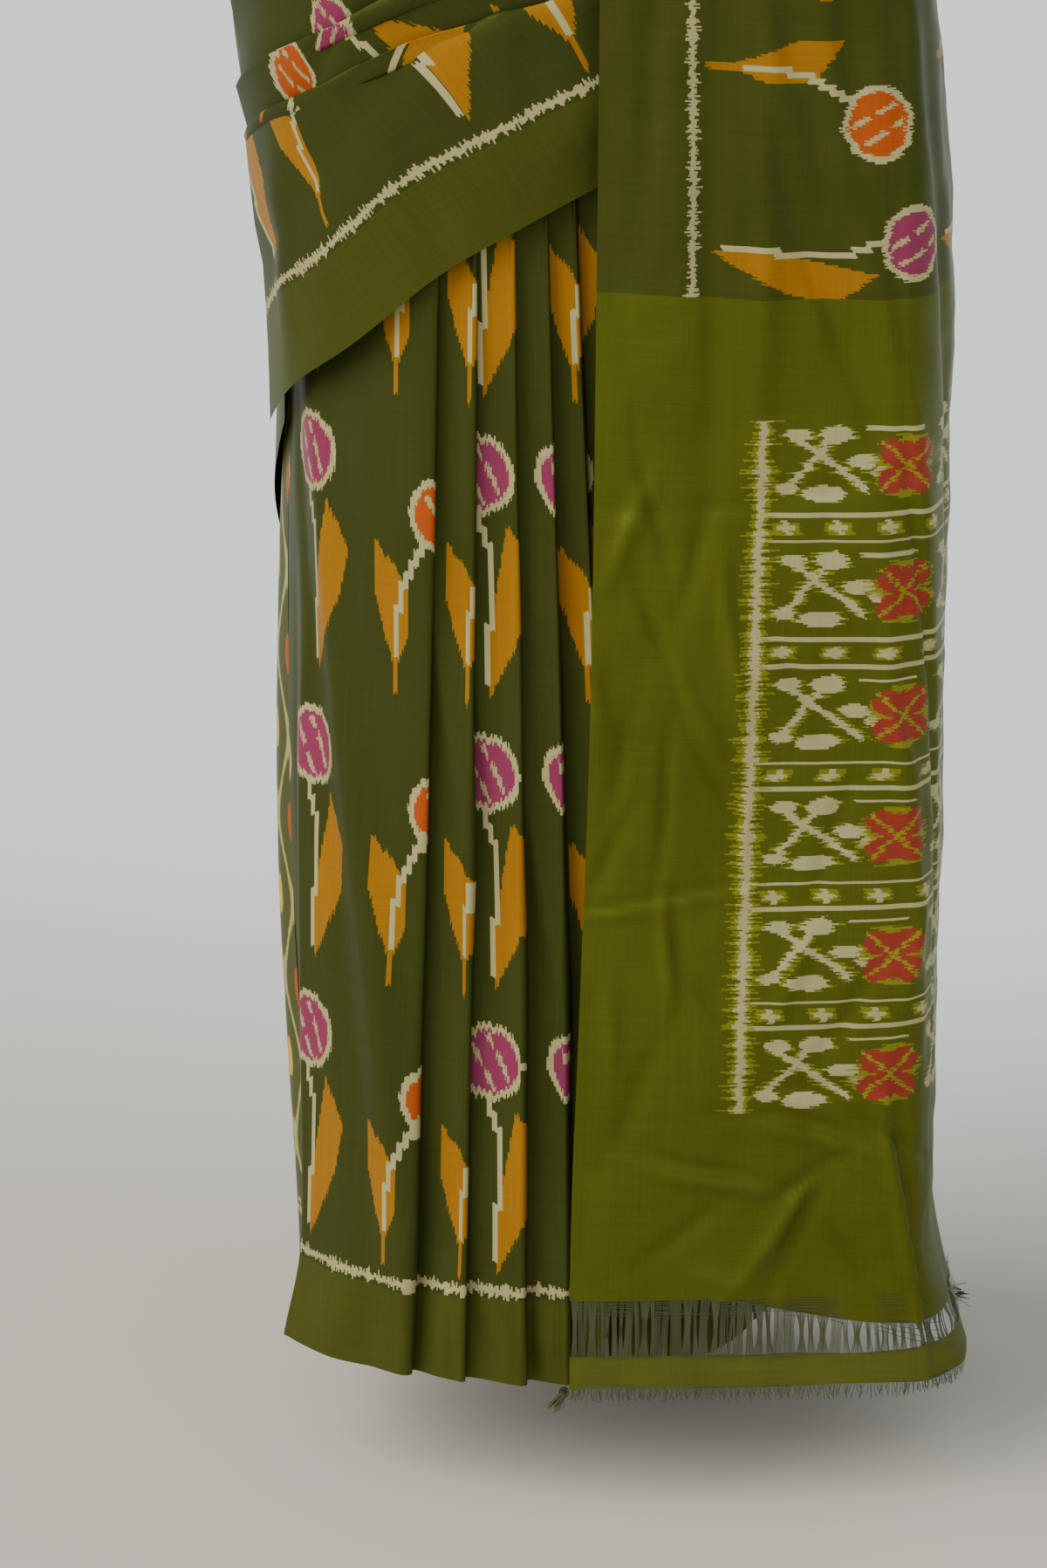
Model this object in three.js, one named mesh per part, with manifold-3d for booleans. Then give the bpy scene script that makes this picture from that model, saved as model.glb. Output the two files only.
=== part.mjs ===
// A silk saree as it is worn, hollow where the wearer stands. Millimetres, +Z up, the front looks towards -Y.
// The origin is the centre of the waist, where the cloth is tucked in and held. Angles run round the figure
// in degrees: 0 is the front, 90 the wearer's left side, 180 the back and 270 (or -90) the wearer's right side.
// One length of cloth makes every stretch: the first wrap, the front pleats, the second wrap round the back,
// the pleated drape across the front to the left shoulder, and the end that falls over the left arm.
import * as THREE from "three";
import Module from "manifold-3d";

const wasm = await Module();
wasm.setup();

// Driving dimensions
const WALL = 1.5; // thickness of the cloth walls
const PLEAT_WALL = 1.2; // thickness where pleats lie on each other
const SEAM = 0.35; // parting between two stretches
const HEM = -1016; // lower selvage of the skirt
const TUCK = 12; // the skirt's top edge stands this far above the waist line
const SIDE_SEAM = -74; // angle where the drape takes over from the second wrap, on the right side
const BAND_HEIGHT = 20; // woven band below the unwoven stretch at the loose end
const OPEN_HEIGHT = 34; // unwoven stretch, warps only
const FRINGE = 8; // cut ends below the band
const STRAND = 1.1; // width of one strand of fringe
const FRINGE_STRANDS = 80;
const TASSEL_STRANDS = 14;
const TASSEL_HEAD = 3.4; // radius of its knot

// The general figure inside the cloth: half widths of its rings
const FIGURE = [
  { z: HEM, side: 133, front: 116, back: 114 },
  { z: -974, side: 133, front: 114, back: 113 },
  { z: -864, side: 138, front: 111, back: 112 },
  { z: -756, side: 142, front: 109, back: 113 },
  { z: -560, side: 142, front: 108, back: 117 },
  { z: -445, side: 139.5, front: 108, back: 123 },
  { z: -355, side: 147, front: 110, back: 131 },
  { z: -250, side: 161, front: 112, back: 135 },
  { z: -170, side: 160, front: 110, back: 128 },
  { z: -80, side: 141, front: 100, back: 104 },
  { z: 0, side: 122, front: 90, back: 88 },
  { z: 90, side: 127, front: 97, back: 90 },
  { z: 170, side: 138, front: 118, back: 96 },
  { z: 230, side: 146, front: 110, back: 100 },
  { z: 300, side: 152, front: 84, back: 90 },
  { z: 350, side: 146, front: 44, back: 52 },
  { z: 380, side: 132, front: 10, back: 14 },
];
const SHOULDER_FROM = 230; // above this the rings slope down towards the arms
const SHOULDER_TO = 380;
const SHOULDER_SLOPE = 0.22;

// How far the pleats and the wide front panel stand off the figure, over the middle of the front
const STACK = [
  { z: HEM, out: 30 },
  { z: -700, out: 28 },
  { z: -350, out: 24 },
  { z: 12, out: 15 },
];
const STACK_LEFT = { from: -80, to: -34 }; // angles over which the stack rises
const STACK_RIGHT = { from: 74, to: 36 };
const STACK_SIDE = 7; // what is left of it at the sides

// Right-hand fold edges of the front pleats: x at four heights
const PLEAT_LEVELS = [12, -350, -709, HEM];
const PLEATS = [
  { x: [-46, -55, -65, -77] },
  { x: [-31, -34, -38, -43] },
  { x: [-16, -13, -8, -7] },
  { x: [-2, 6, 16, 19] },
  { x: [11, 22, 38, 43] },
  { x: [24, 39, 60, 67] },
  { x: [37, 56, 82, 91] },
];
const PLEAT_STEP = [1.8, 2.6, 3.7, 3.9]; // distance from one layer to the next
const PLEAT_DEPTH = [19, 38, 46, 50]; // how far each fold runs back behind the last
const PLEATS_END = 66; // angle where the second wrap takes over

// The wide panel's own fold on the wearer's right: angles, and how far its ridge and valley stand out
const SIDE_FOLD = [
  { z: 12, seam: -77, valley: -68, ridge: -56, ridgeOut: 8, valleyOut: 4.6 },
  { z: -350, seam: -77, valley: -68, ridge: -56, ridgeOut: 8.5, valleyOut: 5.5 },
  { z: -480, seam: -77, valley: -67, ridge: -56, ridgeOut: 10, valleyOut: 6.5 },
  { z: -640, seam: -76, valley: -66, ridge: -58, ridgeOut: 13.5, valleyOut: 4.4 },
  { z: -800, seam: -75, valley: -67, ridge: -59, ridgeOut: 17, valleyOut: 4 },
  { z: -950, seam: -74, valley: -68, ridge: -60, ridgeOut: 22, valleyOut: 4 },
  { z: HEM, seam: -74, valley: -68.5, ridge: -62, ridgeOut: 33, valleyOut: 4.4 },
];

// Second wrap: its lower selvage rises round the back, and its top leaves the waist for the right underarm
const WRAP_OUT = 6.8;
const WRAP_EDGES = [
  { angle: 66, low: HEM, top: TUCK },
  { angle: 110, low: -1008, top: TUCK },
  { angle: 150, low: -940, top: TUCK },
  { angle: 190, low: -820, top: TUCK + 4 },
  { angle: 230, low: -660, top: 70 },
  { angle: 260, low: -548, top: 160 },
  { angle: 286, low: -478, top: 205 },
];

// Front drape: where its lower and upper selvages run, from the right side to the left shoulder
const DRAPE = [
  { low: [-74, -478], high: [-74, 205] },
  { low: [-55, -446], high: [-62, 207] },
  { low: [-37, -416], high: [-52, 212] },
  { low: [-18, -373], high: [-42, 219] },
  { low: [-2, -345], high: [-32, 228] },
  { low: [10, -325], high: [-22, 239] },
  { low: [27, -299], high: [-13, 251] },
  { low: [44, -256], high: [-5, 264] },
  { low: [58, -188], high: [2, 278] },
  { low: [65, -90], high: [8, 292] },
  { low: [67, 20], high: [13, 306] },
  { low: [67, 130], high: [17, 321] },
  { low: [68, 235], high: [21, 338] },
];
// Its pleat edges as shares of the way from the lower to the upper selvage
const DRAPE_PLEATS = [
  { side: 0.24, middle: 0.17, shoulder: 0.15 },
  { side: 0.28, middle: 0.225, shoulder: 0.29 },
  { side: 0.45, middle: 0.4, shoulder: 0.43 },
  { side: 0.62, middle: 0.56, shoulder: 0.57 },
  { side: 0.78, middle: 0.72, shoulder: 0.71 },
  { side: 0.9, middle: 0.87, shoulder: 0.86 },
];
const DRAPE_CLEAR = 2.5; // over what lies under it
const DRAPE_STEP = 2;
const DRAPE_TOP = 5.8; // its outermost layer, over the clearance
// Where the drape ends under the loose end's shoulder: shares of the cloth's width there, height, its width
const SHOULDER_END = { from: 0.2, to: 0.03, z: 366, width: 120 };
const DRAPE_DEPTH = { side: 5, middle: 17, shoulder: 7 };

// The loose end over the left arm: plan points from its front selvage round to the back, at falling heights
const FALL_SHARES = [0, 0.06, 0.13, 0.18, 0.24, 0.32, 0.42, 0.56, 0.7, 0.85, 1];
const FALL = [
  {
    z: 404,
    x: [70, 76, 84, 90, 96, 100, 98, 92, 84, 76, 68],
    y: [-12, -14, -15, -12, -7, 0, 7, 12, 14, 14, 12],
  },
  {
    z: 392,
    x: [58, 74, 96, 112, 124, 130, 126, 112, 92, 72, 56],
    y: [-30, -36, -38, -30, -16, 0, 16, 30, 37, 38, 34],
  },
  {
    z: 360,
    x: [50, 78, 116, 146, 166, 174, 166, 142, 108, 74, 46],
    y: [-66, -74, -74, -58, -30, 0, 32, 58, 74, 78, 72],
  },
  {
    z: 310,
    x: [46, 80, 126, 164, 190, 198, 188, 156, 112, 66, 28],
    y: [-112, -118, -110, -84, -44, 0, 46, 80, 100, 106, 102],
  },
  {
    z: 255,
    x: [44, 82, 132, 172, 198, 206, 196, 158, 108, 56, 12],
    y: [-144, -146, -134, -104, -54, -2, 52, 94, 116, 122, 120],
  },
  {
    z: 150,
    x: [40, 84, 136, 178, 203, 209, 200, 160, 104, 46, -6],
    y: [-158, -158, -146, -114, -60, -4, 58, 106, 128, 132, 130],
  },
  {
    z: 0,
    x: [36, 84, 140, 186, 206, 210, 202, 158, 98, 34, -24],
    y: [-160, -161, -150, -124, -64, -2, 64, 118, 138, 142, 138],
  },
  {
    z: -200,
    x: [33, 84, 146, 198, 212, 214, 204, 158, 92, 22, -40],
    y: [-160, -163, -153, -136, -66, 0, 70, 134, 160, 164, 160],
  },
  {
    z: -350,
    x: [32, 86, 152, 208, 227, 226, 208, 156, 88, 16, -48],
    y: [-160, -164, -154, -140, -68, 2, 74, 138, 164, 166, 162],
  },
  {
    z: -620,
    x: [29, 84, 153, 212, 229, 226, 206, 152, 82, 10, -54],
    y: [-164, -162, -152, -138, -66, 4, 74, 134, 156, 158, 154],
  },
  {
    z: -890,
    x: [20, 80, 151, 213, 230, 226, 204, 148, 78, 6, -58],
    y: [-167, -160, -148, -134, -62, 8, 76, 132, 152, 152, 148],
  },
  {
    z: -945,
    x: [19, 79, 151, 213, 231, 227, 204, 148, 78, 6, -58],
    y: [-168, -160, -148, -134, -66, 8, 76, 132, 152, 152, 148],
  },
  {
    z: -1008,
    x: [19, 78, 152, 222, 248, 240, 208, 146, 76, 4, -60],
    y: [-168, -160, -150, -138, -96, 4, 76, 132, 150, 150, 146],
  },
];
const FALL_END = [
  { share: 0, z: -1008 },
  { share: 0.18, z: -1015 },
  { share: 0.45, z: -1012 },
  { share: 1, z: -1004 },
];
const FLUTES = { from: 0.36, count: 6.5, top: 5, bottom: 44 }; // folds down the back of the loose end

const radians = (degrees) => (degrees * Math.PI) / 180;
const mix = (a, b, t) => a + (b - a) * t;
const clamp = (t) => Math.min(1, Math.max(0, t));
const ease = (t) => clamp(t) ** 2 * (3 - 2 * clamp(t));

// A smooth curve through (xs[i], ys[i]), xs rising or falling
function through(xs, ys, x) {
  const up = xs[xs.length - 1] > xs[0];
  const last = xs.length - 1;
  let i = 0;
  while (i < last - 1 && (up ? x > xs[i + 1] : x < xs[i + 1])) i += 1;
  const slope = (k) => {
    const [a, b] = [Math.max(0, k - 1), Math.min(last, k + 1)];
    return (ys[b] - ys[a]) / (xs[b] - xs[a]);
  };
  const h = xs[i + 1] - xs[i];
  const t = clamp((x - xs[i]) / h);
  const [t2, t3] = [t * t, t * t * t];
  return (
    (2 * t3 - 3 * t2 + 1) * ys[i] +
    (t3 - 2 * t2 + t) * h * slope(i) +
    (3 * t2 - 2 * t3) * ys[i + 1] +
    (t3 - t2) * h * slope(i + 1)
  );
}

// A table's column as a function of its first column
const column = (table, key, name) => (x) =>
  through(
    table.map((row) => row[key]),
    table.map((row) => row[name]),
    x,
  );

const figureSide = column(FIGURE, "z", "side");
const figureFront = column(FIGURE, "z", "front");
const figureBack = column(FIGURE, "z", "back");
const stackOut = column(STACK, "z", "out");

function figurePoint(angle, z) {
  const turn = radians(angle);
  const depth = Math.cos(turn) > 0 ? figureFront(z) : figureBack(z);
  const x = figureSide(z) * Math.sin(turn);
  const drop = SHOULDER_SLOPE * Math.abs(x) * ease((z - SHOULDER_FROM) / (SHOULDER_TO - SHOULDER_FROM));
  return new THREE.Vector3(x, -depth * Math.cos(turn), z - drop);
}

// The point that stands off the figure by out, square to its surface
function onFigure(angle, z, out) {
  const step = 0.5;
  const round = figurePoint(angle + step, z).sub(figurePoint(angle - step, z));
  const rise = figurePoint(angle, z + step).sub(figurePoint(angle, z - step));
  return figurePoint(angle, z).addScaledVector(round.cross(rise).normalize(), out);
}

// How far the outermost layer of the front pleats stands off the figure
function stackAt(angle, z) {
  const rise = ease((angle - STACK_LEFT.from) / (STACK_LEFT.to - STACK_LEFT.from));
  const fall = ease((angle - STACK_RIGHT.from) / (STACK_RIGHT.to - STACK_RIGHT.from));
  return mix(STACK_SIDE, stackOut(z), Math.min(rise, fall));
}

// A cloth wall round a grid of points on its middle surface
function wall(rows, thickness) {
  const [high, wide] = [rows.length, rows[0].length];
  const at = (i, j) => rows[Math.min(high - 1, Math.max(0, i))][Math.min(wide - 1, Math.max(0, j))];
  const positions = [];
  for (const offset of [thickness / 2, -thickness / 2])
    for (let i = 0; i < high; i += 1)
      for (let j = 0; j < wide; j += 1) {
        const along = at(i, j + 1).clone().sub(at(i, j - 1));
        const down = at(i + 1, j).clone().sub(at(i - 1, j));
        const p = at(i, j).clone().addScaledVector(along.cross(down).normalize(), offset);
        positions.push(p.x, p.y, p.z);
      }
  const outer = (i, j) => i * wide + j;
  const inner = (i, j) => high * wide + i * wide + j;
  const index = [];
  const quad = (a, b, c, d, turned = false) =>
    turned ? index.push(b, c, d, b, d, a) : index.push(a, b, c, a, c, d);
  for (let i = 0; i < high - 1; i += 1)
    for (let j = 0; j < wide - 1; j += 1) {
      // The shorter diagonal, so that layers lying on each other are split alike
      const turned = at(i, j).distanceTo(at(i + 1, j + 1)) > at(i, j + 1).distanceTo(at(i + 1, j));
      quad(outer(i, j), outer(i, j + 1), outer(i + 1, j + 1), outer(i + 1, j), turned);
      quad(inner(i, j), inner(i + 1, j), inner(i + 1, j + 1), inner(i, j + 1), turned);
    }
  for (let j = 0; j < wide - 1; j += 1) {
    quad(outer(0, j + 1), outer(0, j), inner(0, j), inner(0, j + 1));
    quad(outer(high - 1, j), outer(high - 1, j + 1), inner(high - 1, j + 1), inner(high - 1, j));
  }
  for (let i = 0; i < high - 1; i += 1) {
    quad(outer(i, 0), outer(i + 1, 0), inner(i + 1, 0), inner(i, 0));
    quad(outer(i + 1, wide - 1), outer(i, wide - 1), inner(i, wide - 1), inner(i + 1, wide - 1));
  }
  const geometry = new THREE.BufferGeometry();
  geometry.setAttribute("position", new THREE.Float32BufferAttribute(positions, 3));
  geometry.setIndex(index);
  return geometry;
}

// Even steps from one value to another, both included
const steps = (from, to, count) => Array.from({ length: count + 1 }, (_, i) => mix(from, to, i / count));

const SKIRT_LEVELS = [TUCK, -38, -80, -130, -200, -270, -350, -445, -600, -780, -950, HEM];

// First wrap: from under the pleats round the left side and the back to the right side
function firstWrap() {
  const seamAt = column(SIDE_FOLD, "z", "seam");
  const rows = SKIRT_LEVELS.map((z) => {
    const end = 360 + seamAt(z) - 0.2;
    const soft = ease((-420 - z) / 300);
    return steps(-22, end, 30).map((angle) => {
      const ridge = 3 * Math.exp(-(((angle - 271) / 9) ** 2)) * soft;
      const waves = 2.2 * soft * Math.sin(radians(angle * 7)) * ease((angle - 120) / 60);
      return onFigure(angle, z + 1, 2 + Math.max(0, waves) + ridge);
    });
  });
  return wall(rows, WALL);
}

const atLevel = (values, z) => through(PLEAT_LEVELS, values, z);

// Laid pleats, layer by layer: every layer runs parallel to its neighbours, one step further in, while the
// whole pack comes out by two steps from each fold edge to the next, so that each edge shows at the top.
function layerDepth(layer, edges, step, at) {
  let k = 0;
  while (k < edges.length - 1 && at > edges[k + 1]) k += 1;
  const span = k + 1 < edges.length ? edges[k + 1] - edges[k] : 1;
  const gained = at <= edges[0] ? 0 : 2 * (k + Math.min(1, (at - edges[k]) / span));
  return (layer - gained) * step;
}

// Front pleats: the wide panel, seven knife pleats that open to the wearer's left, and the run to the left side
function pleatSection(z) {
  const fold = (name) => column(SIDE_FOLD, "z", name)(z);
  const top = stackOut(z);
  const step = atLevel(PLEAT_STEP, z);
  const depth = atLevel(PLEAT_DEPTH, z);
  const turn = (x) => THREE.MathUtils.radToDeg(Math.asin(x / (figureSide(z) + top)));
  const edges = PLEATS.map((pleat) => atLevel(pleat.x, z));
  const names = ["seam", "valley", "ridge", "ridgeOut", "valleyOut"];
  const [seam, valley, ridge, ridgeOut, valleyOut] = names.map(fold);
  const path = [
    { angle: seam, out: 2.2 },
    { angle: mix(seam, valley, 0.5), out: mix(2.2, valleyOut, 0.4) },
    { angle: valley, out: valleyOut },
    { angle: mix(valley, ridge, 0.5), out: mix(valleyOut, ridgeOut, 0.6) },
    { angle: ridge - 1, out: ridgeOut - 0.4 },
    { angle: ridge + 1.5, out: ridgeOut },
  ];
  const panelOut = (angle) => mix(ridgeOut, top, ease((angle - ridge) / (turn(edges[0]) - ridge)));
  for (const share of [0.22, 0.42, 0.6, 0.8]) {
    const angle = mix(ridge, turn(edges[0]), share);
    path.push({ angle, out: panelOut(angle) });
  }
  const put = (x, layer) => {
    const angle = turn(x);
    path.push({ angle, out: panelOut(angle) - layerDepth(layer, edges, step, x) });
  };
  edges.forEach((edge, k) => {
    const [middle, back] = [edge - depth / 2, edge - depth];
    put(edge - step * 0.4, 2 * k);
    path.push({ angle: turn(edge + step * 0.35), out: top - step / 2 });
    put(edge - step * 0.4, 2 * k + 1);
    put(middle, 2 * k + 1);
    put(back, 2 * k + 1);
    put(back - step * 0.7, 2 * k + 1.5);
    put(back, 2 * k + 2);
    put(middle, 2 * k + 2);
    if (k + 1 < edges.length) put(edge, 2 * k + 2);
  });
  const last = path[path.length - 1];
  for (const share of [0.16, 0.33, 0.5, 0.67, 0.84, 1]) {
    path.push({ angle: mix(last.angle, PLEATS_END - 0.4, share), out: mix(last.out, WRAP_OUT, share) });
  }
  return path;
}

function frontPleats() {
  const rows = SKIRT_LEVELS.map((z) => pleatSection(z).map((p) => onFigure(p.angle, z, p.out)));
  return wall(rows, PLEAT_WALL);
}

// Second wrap: from the left side round the back to the right side, its selvage rising
function secondWrap() {
  const low = column(WRAP_EDGES, "angle", "low");
  const top = column(WRAP_EDGES, "angle", "top");
  const rows = steps(0, 1, 13).map((share) =>
    steps(PLEATS_END, 360 + SIDE_SEAM - 0.2, 30).map((angle) => {
      const z = mix(top(angle), low(angle), share);
      const wave = 2.5 * Math.sin(radians((angle - PLEATS_END) * 6)) * ease((-300 - z) / 400);
      return onFigure(angle, z, WRAP_OUT + Math.max(0, wave));
    }),
  );
  return wall(rows, WALL);
}

// The drape's layers at one station: shares of the way up from the lower selvage, and how far each stands out
function drapeSection(station, width) {
  const half = station < 0.5;
  const t = ease(half ? station * 2 : station * 2 - 1);
  const pick = (row) => (half ? mix(row.side, row.middle, t) : mix(row.middle, row.shoulder, t));
  const edges = DRAPE_PLEATS.map(pick);
  const depth = Math.min(pick(DRAPE_DEPTH) / width, 0.8 * edges[0]);
  const nudge = (0.5 * DRAPE_STEP) / width;
  const path = [];
  const put = (share, layer) => {
    path.push({ share, out: DRAPE_TOP - layerDepth(layer, edges, DRAPE_STEP, share) });
  };
  put(0, 0);
  edges.forEach((edge, k) => {
    const back = edge - depth;
    put(mix(k > 0 ? edges[k - 1] : 0, back, 0.5), 2 * k);
    put(back, 2 * k);
    put(edge - nudge, 2 * k);
    path.push({ share: edge + nudge, out: DRAPE_TOP - DRAPE_STEP / 2 });
    put(edge - nudge, 2 * k + 1);
    put(back, 2 * k + 1);
    put(back - 1.4 * nudge, 2 * k + 1.5);
    put(back, 2 * k + 2);
    put(edge, 2 * k + 2);
  });
  path.push({ share: 1 - 0.4 * (1 - edges[edges.length - 1]), out: DRAPE_TOP - DRAPE_STEP });
  path.push({ share: 1, out: DRAPE_TOP - DRAPE_STEP });
  return path;
}

const endZ = column(FALL_END, "share", "z");

// A point of the loose end: its share of the cloth's width from the front selvage, and its height
function fallPoint(share, z) {
  const heights = FALL.map((row) => row.z);
  const atHeight = (name, k) => through(heights, FALL.map((row) => row[name][k]), z);
  const plan = (name) => through(FALL_SHARES, FALL_SHARES.map((_, k) => atHeight(name, k)), share);
  const here = new THREE.Vector2(plan("x"), plan("y"));
  const open = ease((share - FLUTES.from) / 0.08);
  const grown = ease((380 - z) / 900);
  const swing = open * mix(FLUTES.top, FLUTES.bottom, grown) * ease((395 - z) / 80);
  const wave = Math.sin(((share - FLUTES.from) / (1 - FLUTES.from)) * FLUTES.count * 2 * Math.PI);
  const out = here.clone().sub(new THREE.Vector2(95, 0)).normalize();
  here.addScaledVector(out, swing * (wave * 0.5 + mix(0.5, 0.32, grown)));
  return new THREE.Vector3(here.x, here.y, z);
}

// A point inside the loose end, at a depth below its middle surface
function underFall(share, z, depth) {
  const round = fallPoint(share + 0.01, z).sub(fallPoint(share - 0.01, z));
  const rise = fallPoint(share, z + 2).sub(fallPoint(share, z - 2));
  return fallPoint(share, z).addScaledVector(round.cross(rise).normalize(), -depth);
}

function frontDrape() {
  const stations = DRAPE.map((_, i) => i);
  const along = (name, part) => (s) => through(stations, DRAPE.map((row) => row[name][part]), s);
  const [lowAngle, lowZ] = [along("low", 0), along("low", 1)];
  const [highAngle, highZ] = [along("high", 0), along("high", 1)];
  const columns = steps(0, DRAPE.length - 1, 15).map((s) => {
    const low = figurePoint(lowAngle(s), lowZ(s));
    const width = low.distanceTo(figurePoint(highAngle(s), highZ(s)));
    return drapeSection(s / DRAPE.length, width).map(({ share, out }) => {
      const angle = mix(lowAngle(s), highAngle(s), share);
      const z = mix(lowZ(s), highZ(s), share);
      const under = mix(Math.max(stackAt(angle, z), WRAP_OUT), 3, ease((z - 25) / 120));
      return onFigure(angle, z, under + DRAPE_CLEAR + out);
    });
  });
  const { from, to, z, width } = SHOULDER_END;
  const last = drapeSection(1, width).map(({ share, out }) =>
    underFall(mix(from, to, share), z, (WALL + PLEAT_WALL) / 2 + 3 * SEAM + 1.5 * (DRAPE_TOP - out)),
  );
  const before = columns[columns.length - 1];
  columns.push(before.map((p, i) => p.clone().lerp(last[i], 0.5)), last);
  const rows = columns[0].map((_, i) => columns.map((points) => points[i]));
  return wall(rows.reverse(), PLEAT_WALL);
}

const FALL_COLUMNS = [
  ...steps(0, 0.16, 4),
  ...steps(0.185, 0.34, 6),
  ...steps(0.36, 1, 39),
];

function looseEnd() {
  const levels = [404, 398, 386, 360, 320, 255, 180, 90, 0, -120, -350, -620, -850];
  const lowest = (share) => endZ(share) + BAND_HEIGHT + OPEN_HEIGHT;
  const rows = levels.map((z) => FALL_COLUMNS.map((share) => fallPoint(share, z)));
  rows.push(FALL_COLUMNS.map((share) => fallPoint(share, lowest(share))));
  return wall(rows, WALL);
}

// A strip of the loose end between two heights above its lowest edge
function endStrip(above, below) {
  const row = (height) => FALL_COLUMNS.map((share) => fallPoint(share, endZ(share) + height));
  const rows = [row(above), row(below)];
  return wall(rows, WALL);
}

function manifoldOf(geometry) {
  return new wasm.Manifold(
    new wasm.Mesh({
      numProp: 3,
      vertProperties: geometry.getAttribute("position").array,
      triVerts: new Uint32Array(geometry.index.array),
    }),
  );
}

function geometryOf(solid) {
  const mesh = solid.getMesh();
  const geometry = new THREE.BufferGeometry();
  geometry.setAttribute("position", new THREE.Float32BufferAttribute(mesh.vertProperties, 3));
  geometry.setIndex(new THREE.BufferAttribute(mesh.triVerts, 1));
  return geometry;
}

// A strand with three sides between two points, thinner at its far end
function strand(from, to, width) {
  const positions = [];
  for (const [point, r] of [[from, width * 0.6], [to, width * 0.4]])
    for (let k = 0; k < 3; k += 1) {
      const turn = (k / 3) * 2 * Math.PI;
      positions.push(point.x + r * Math.cos(turn), point.y + r * Math.sin(turn), point.z);
    }
  const geometry = new THREE.BufferGeometry();
  geometry.setAttribute("position", new THREE.Float32BufferAttribute(positions, 3));
  geometry.setIndex([0, 1, 2, 3, 5, 4, 0, 3, 4, 0, 4, 1, 1, 4, 5, 1, 5, 2, 2, 5, 3, 2, 3, 0]);
  return geometry;
}

// A point on the flat facets of a strip, so that a strand's root lies inside it
function stripPoint(share, height) {
  const j = FALL_COLUMNS.findIndex((value) => value > share);
  const [from, to] = [FALL_COLUMNS[j - 1], FALL_COLUMNS[j]];
  const start = fallPoint(from, endZ(from) + height);
  return start.lerp(fallPoint(to, endZ(to) + height), (share - from) / (to - from));
}

// The fringe: strands that hang from a narrow strip just under the band's edge
function endFringe() {
  const strip = manifoldOf(endStrip(-SEAM, -SEAM - 2));
  const strands = steps(0.004, 0.996, FRINGE_STRANDS - 1).map((share, k) => {
    const to = stripPoint(share, -FRINGE);
    to.x += Math.sin(k * 2.4) * 0.8;
    to.z += Math.cos(k * 1.7) * 1.2;
    return manifoldOf(strand(stripPoint(share, -SEAM - 1), to, STRAND));
  });
  return geometryOf(wasm.Manifold.union([strip, ...strands]));
}

// The knotted corner of the fringe: a small head against the corner, with strands spreading below it
function cornerTassel(share) {
  const edge = fallPoint(share, endZ(share));
  const inward = fallPoint(Math.abs(share - 0.004), endZ(share));
  const root = edge.clone().addScaledVector(edge.clone().sub(inward).normalize(), TASSEL_HEAD + 0.25);
  root.z -= 1.6;
  const sphere = new THREE.SphereGeometry(TASSEL_HEAD, 10, 8).getAttribute("position");
  const points = Array.from({ length: sphere.count }, (_, i) =>
    new THREE.Vector3().fromBufferAttribute(sphere, i).add(root).toArray(),
  );
  const strands = steps(0, TASSEL_STRANDS - 1, TASSEL_STRANDS - 1).map((k) => {
    const turn = k * 2.4;
    const spread = 2 + 5 * Math.sqrt(k / TASSEL_STRANDS);
    const hang = new THREE.Vector3(spread * Math.cos(turn), spread * Math.sin(turn), -13 + (k % 3));
    const to = root.clone().add(hang);
    const from = root.clone().add(new THREE.Vector3(1.5 * Math.cos(turn), 1.5 * Math.sin(turn), -1));
    return manifoldOf(strand(from, to, STRAND));
  });
  return geometryOf(wasm.Manifold.union([wasm.Manifold.hull(points), ...strands]));
}

const silk = (color) => new THREE.MeshStandardMaterial({ color, roughness: 0.55, metalness: 0 });
const FIELD = silk(0x55601e);
const TRELLIS = silk(0x5d6420);
const END_GROUND = silk(0x6a7016);
const THREADS = silk(0x6f7320);

const saree = new THREE.Group();
function add(name, geometry, material) {
  const mesh = new THREE.Mesh(geometry, material);
  mesh.name = name;
  saree.add(mesh);
}

add("first_wrap", firstWrap(), TRELLIS);
add("front_pleats", frontPleats(), FIELD);
add("second_wrap", secondWrap(), FIELD);
add("front_drape", frontDrape(), FIELD);
add("pallu_fall", looseEnd(), END_GROUND);
add("pallu_end_band", endStrip(BAND_HEIGHT, 0), END_GROUND);
add("open_warps", endStrip(BAND_HEIGHT + OPEN_HEIGHT - SEAM, BAND_HEIGHT + SEAM), THREADS);
add("end_fringe", endFringe(), THREADS);
add("corner_tassel_front", cornerTassel(0), THREADS);
add("corner_tassel_back", cornerTassel(1), THREADS);

export default saree;
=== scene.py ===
"""A green silk ikat saree as worn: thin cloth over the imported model, with its pattern, folds and fringe.

Lengths are millimetres while the cloth is worked out, and metres once it is a mesh. Angles run round the
figure in degrees: 0 is the front, 90 the wearer's left side, 180 the back, -90 the wearer's right side.
Cloth coordinates: s runs along the length of the cloth, v across it from the lower selvage.
"""

import math
import random

import bpy
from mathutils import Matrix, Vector, noise


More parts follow.
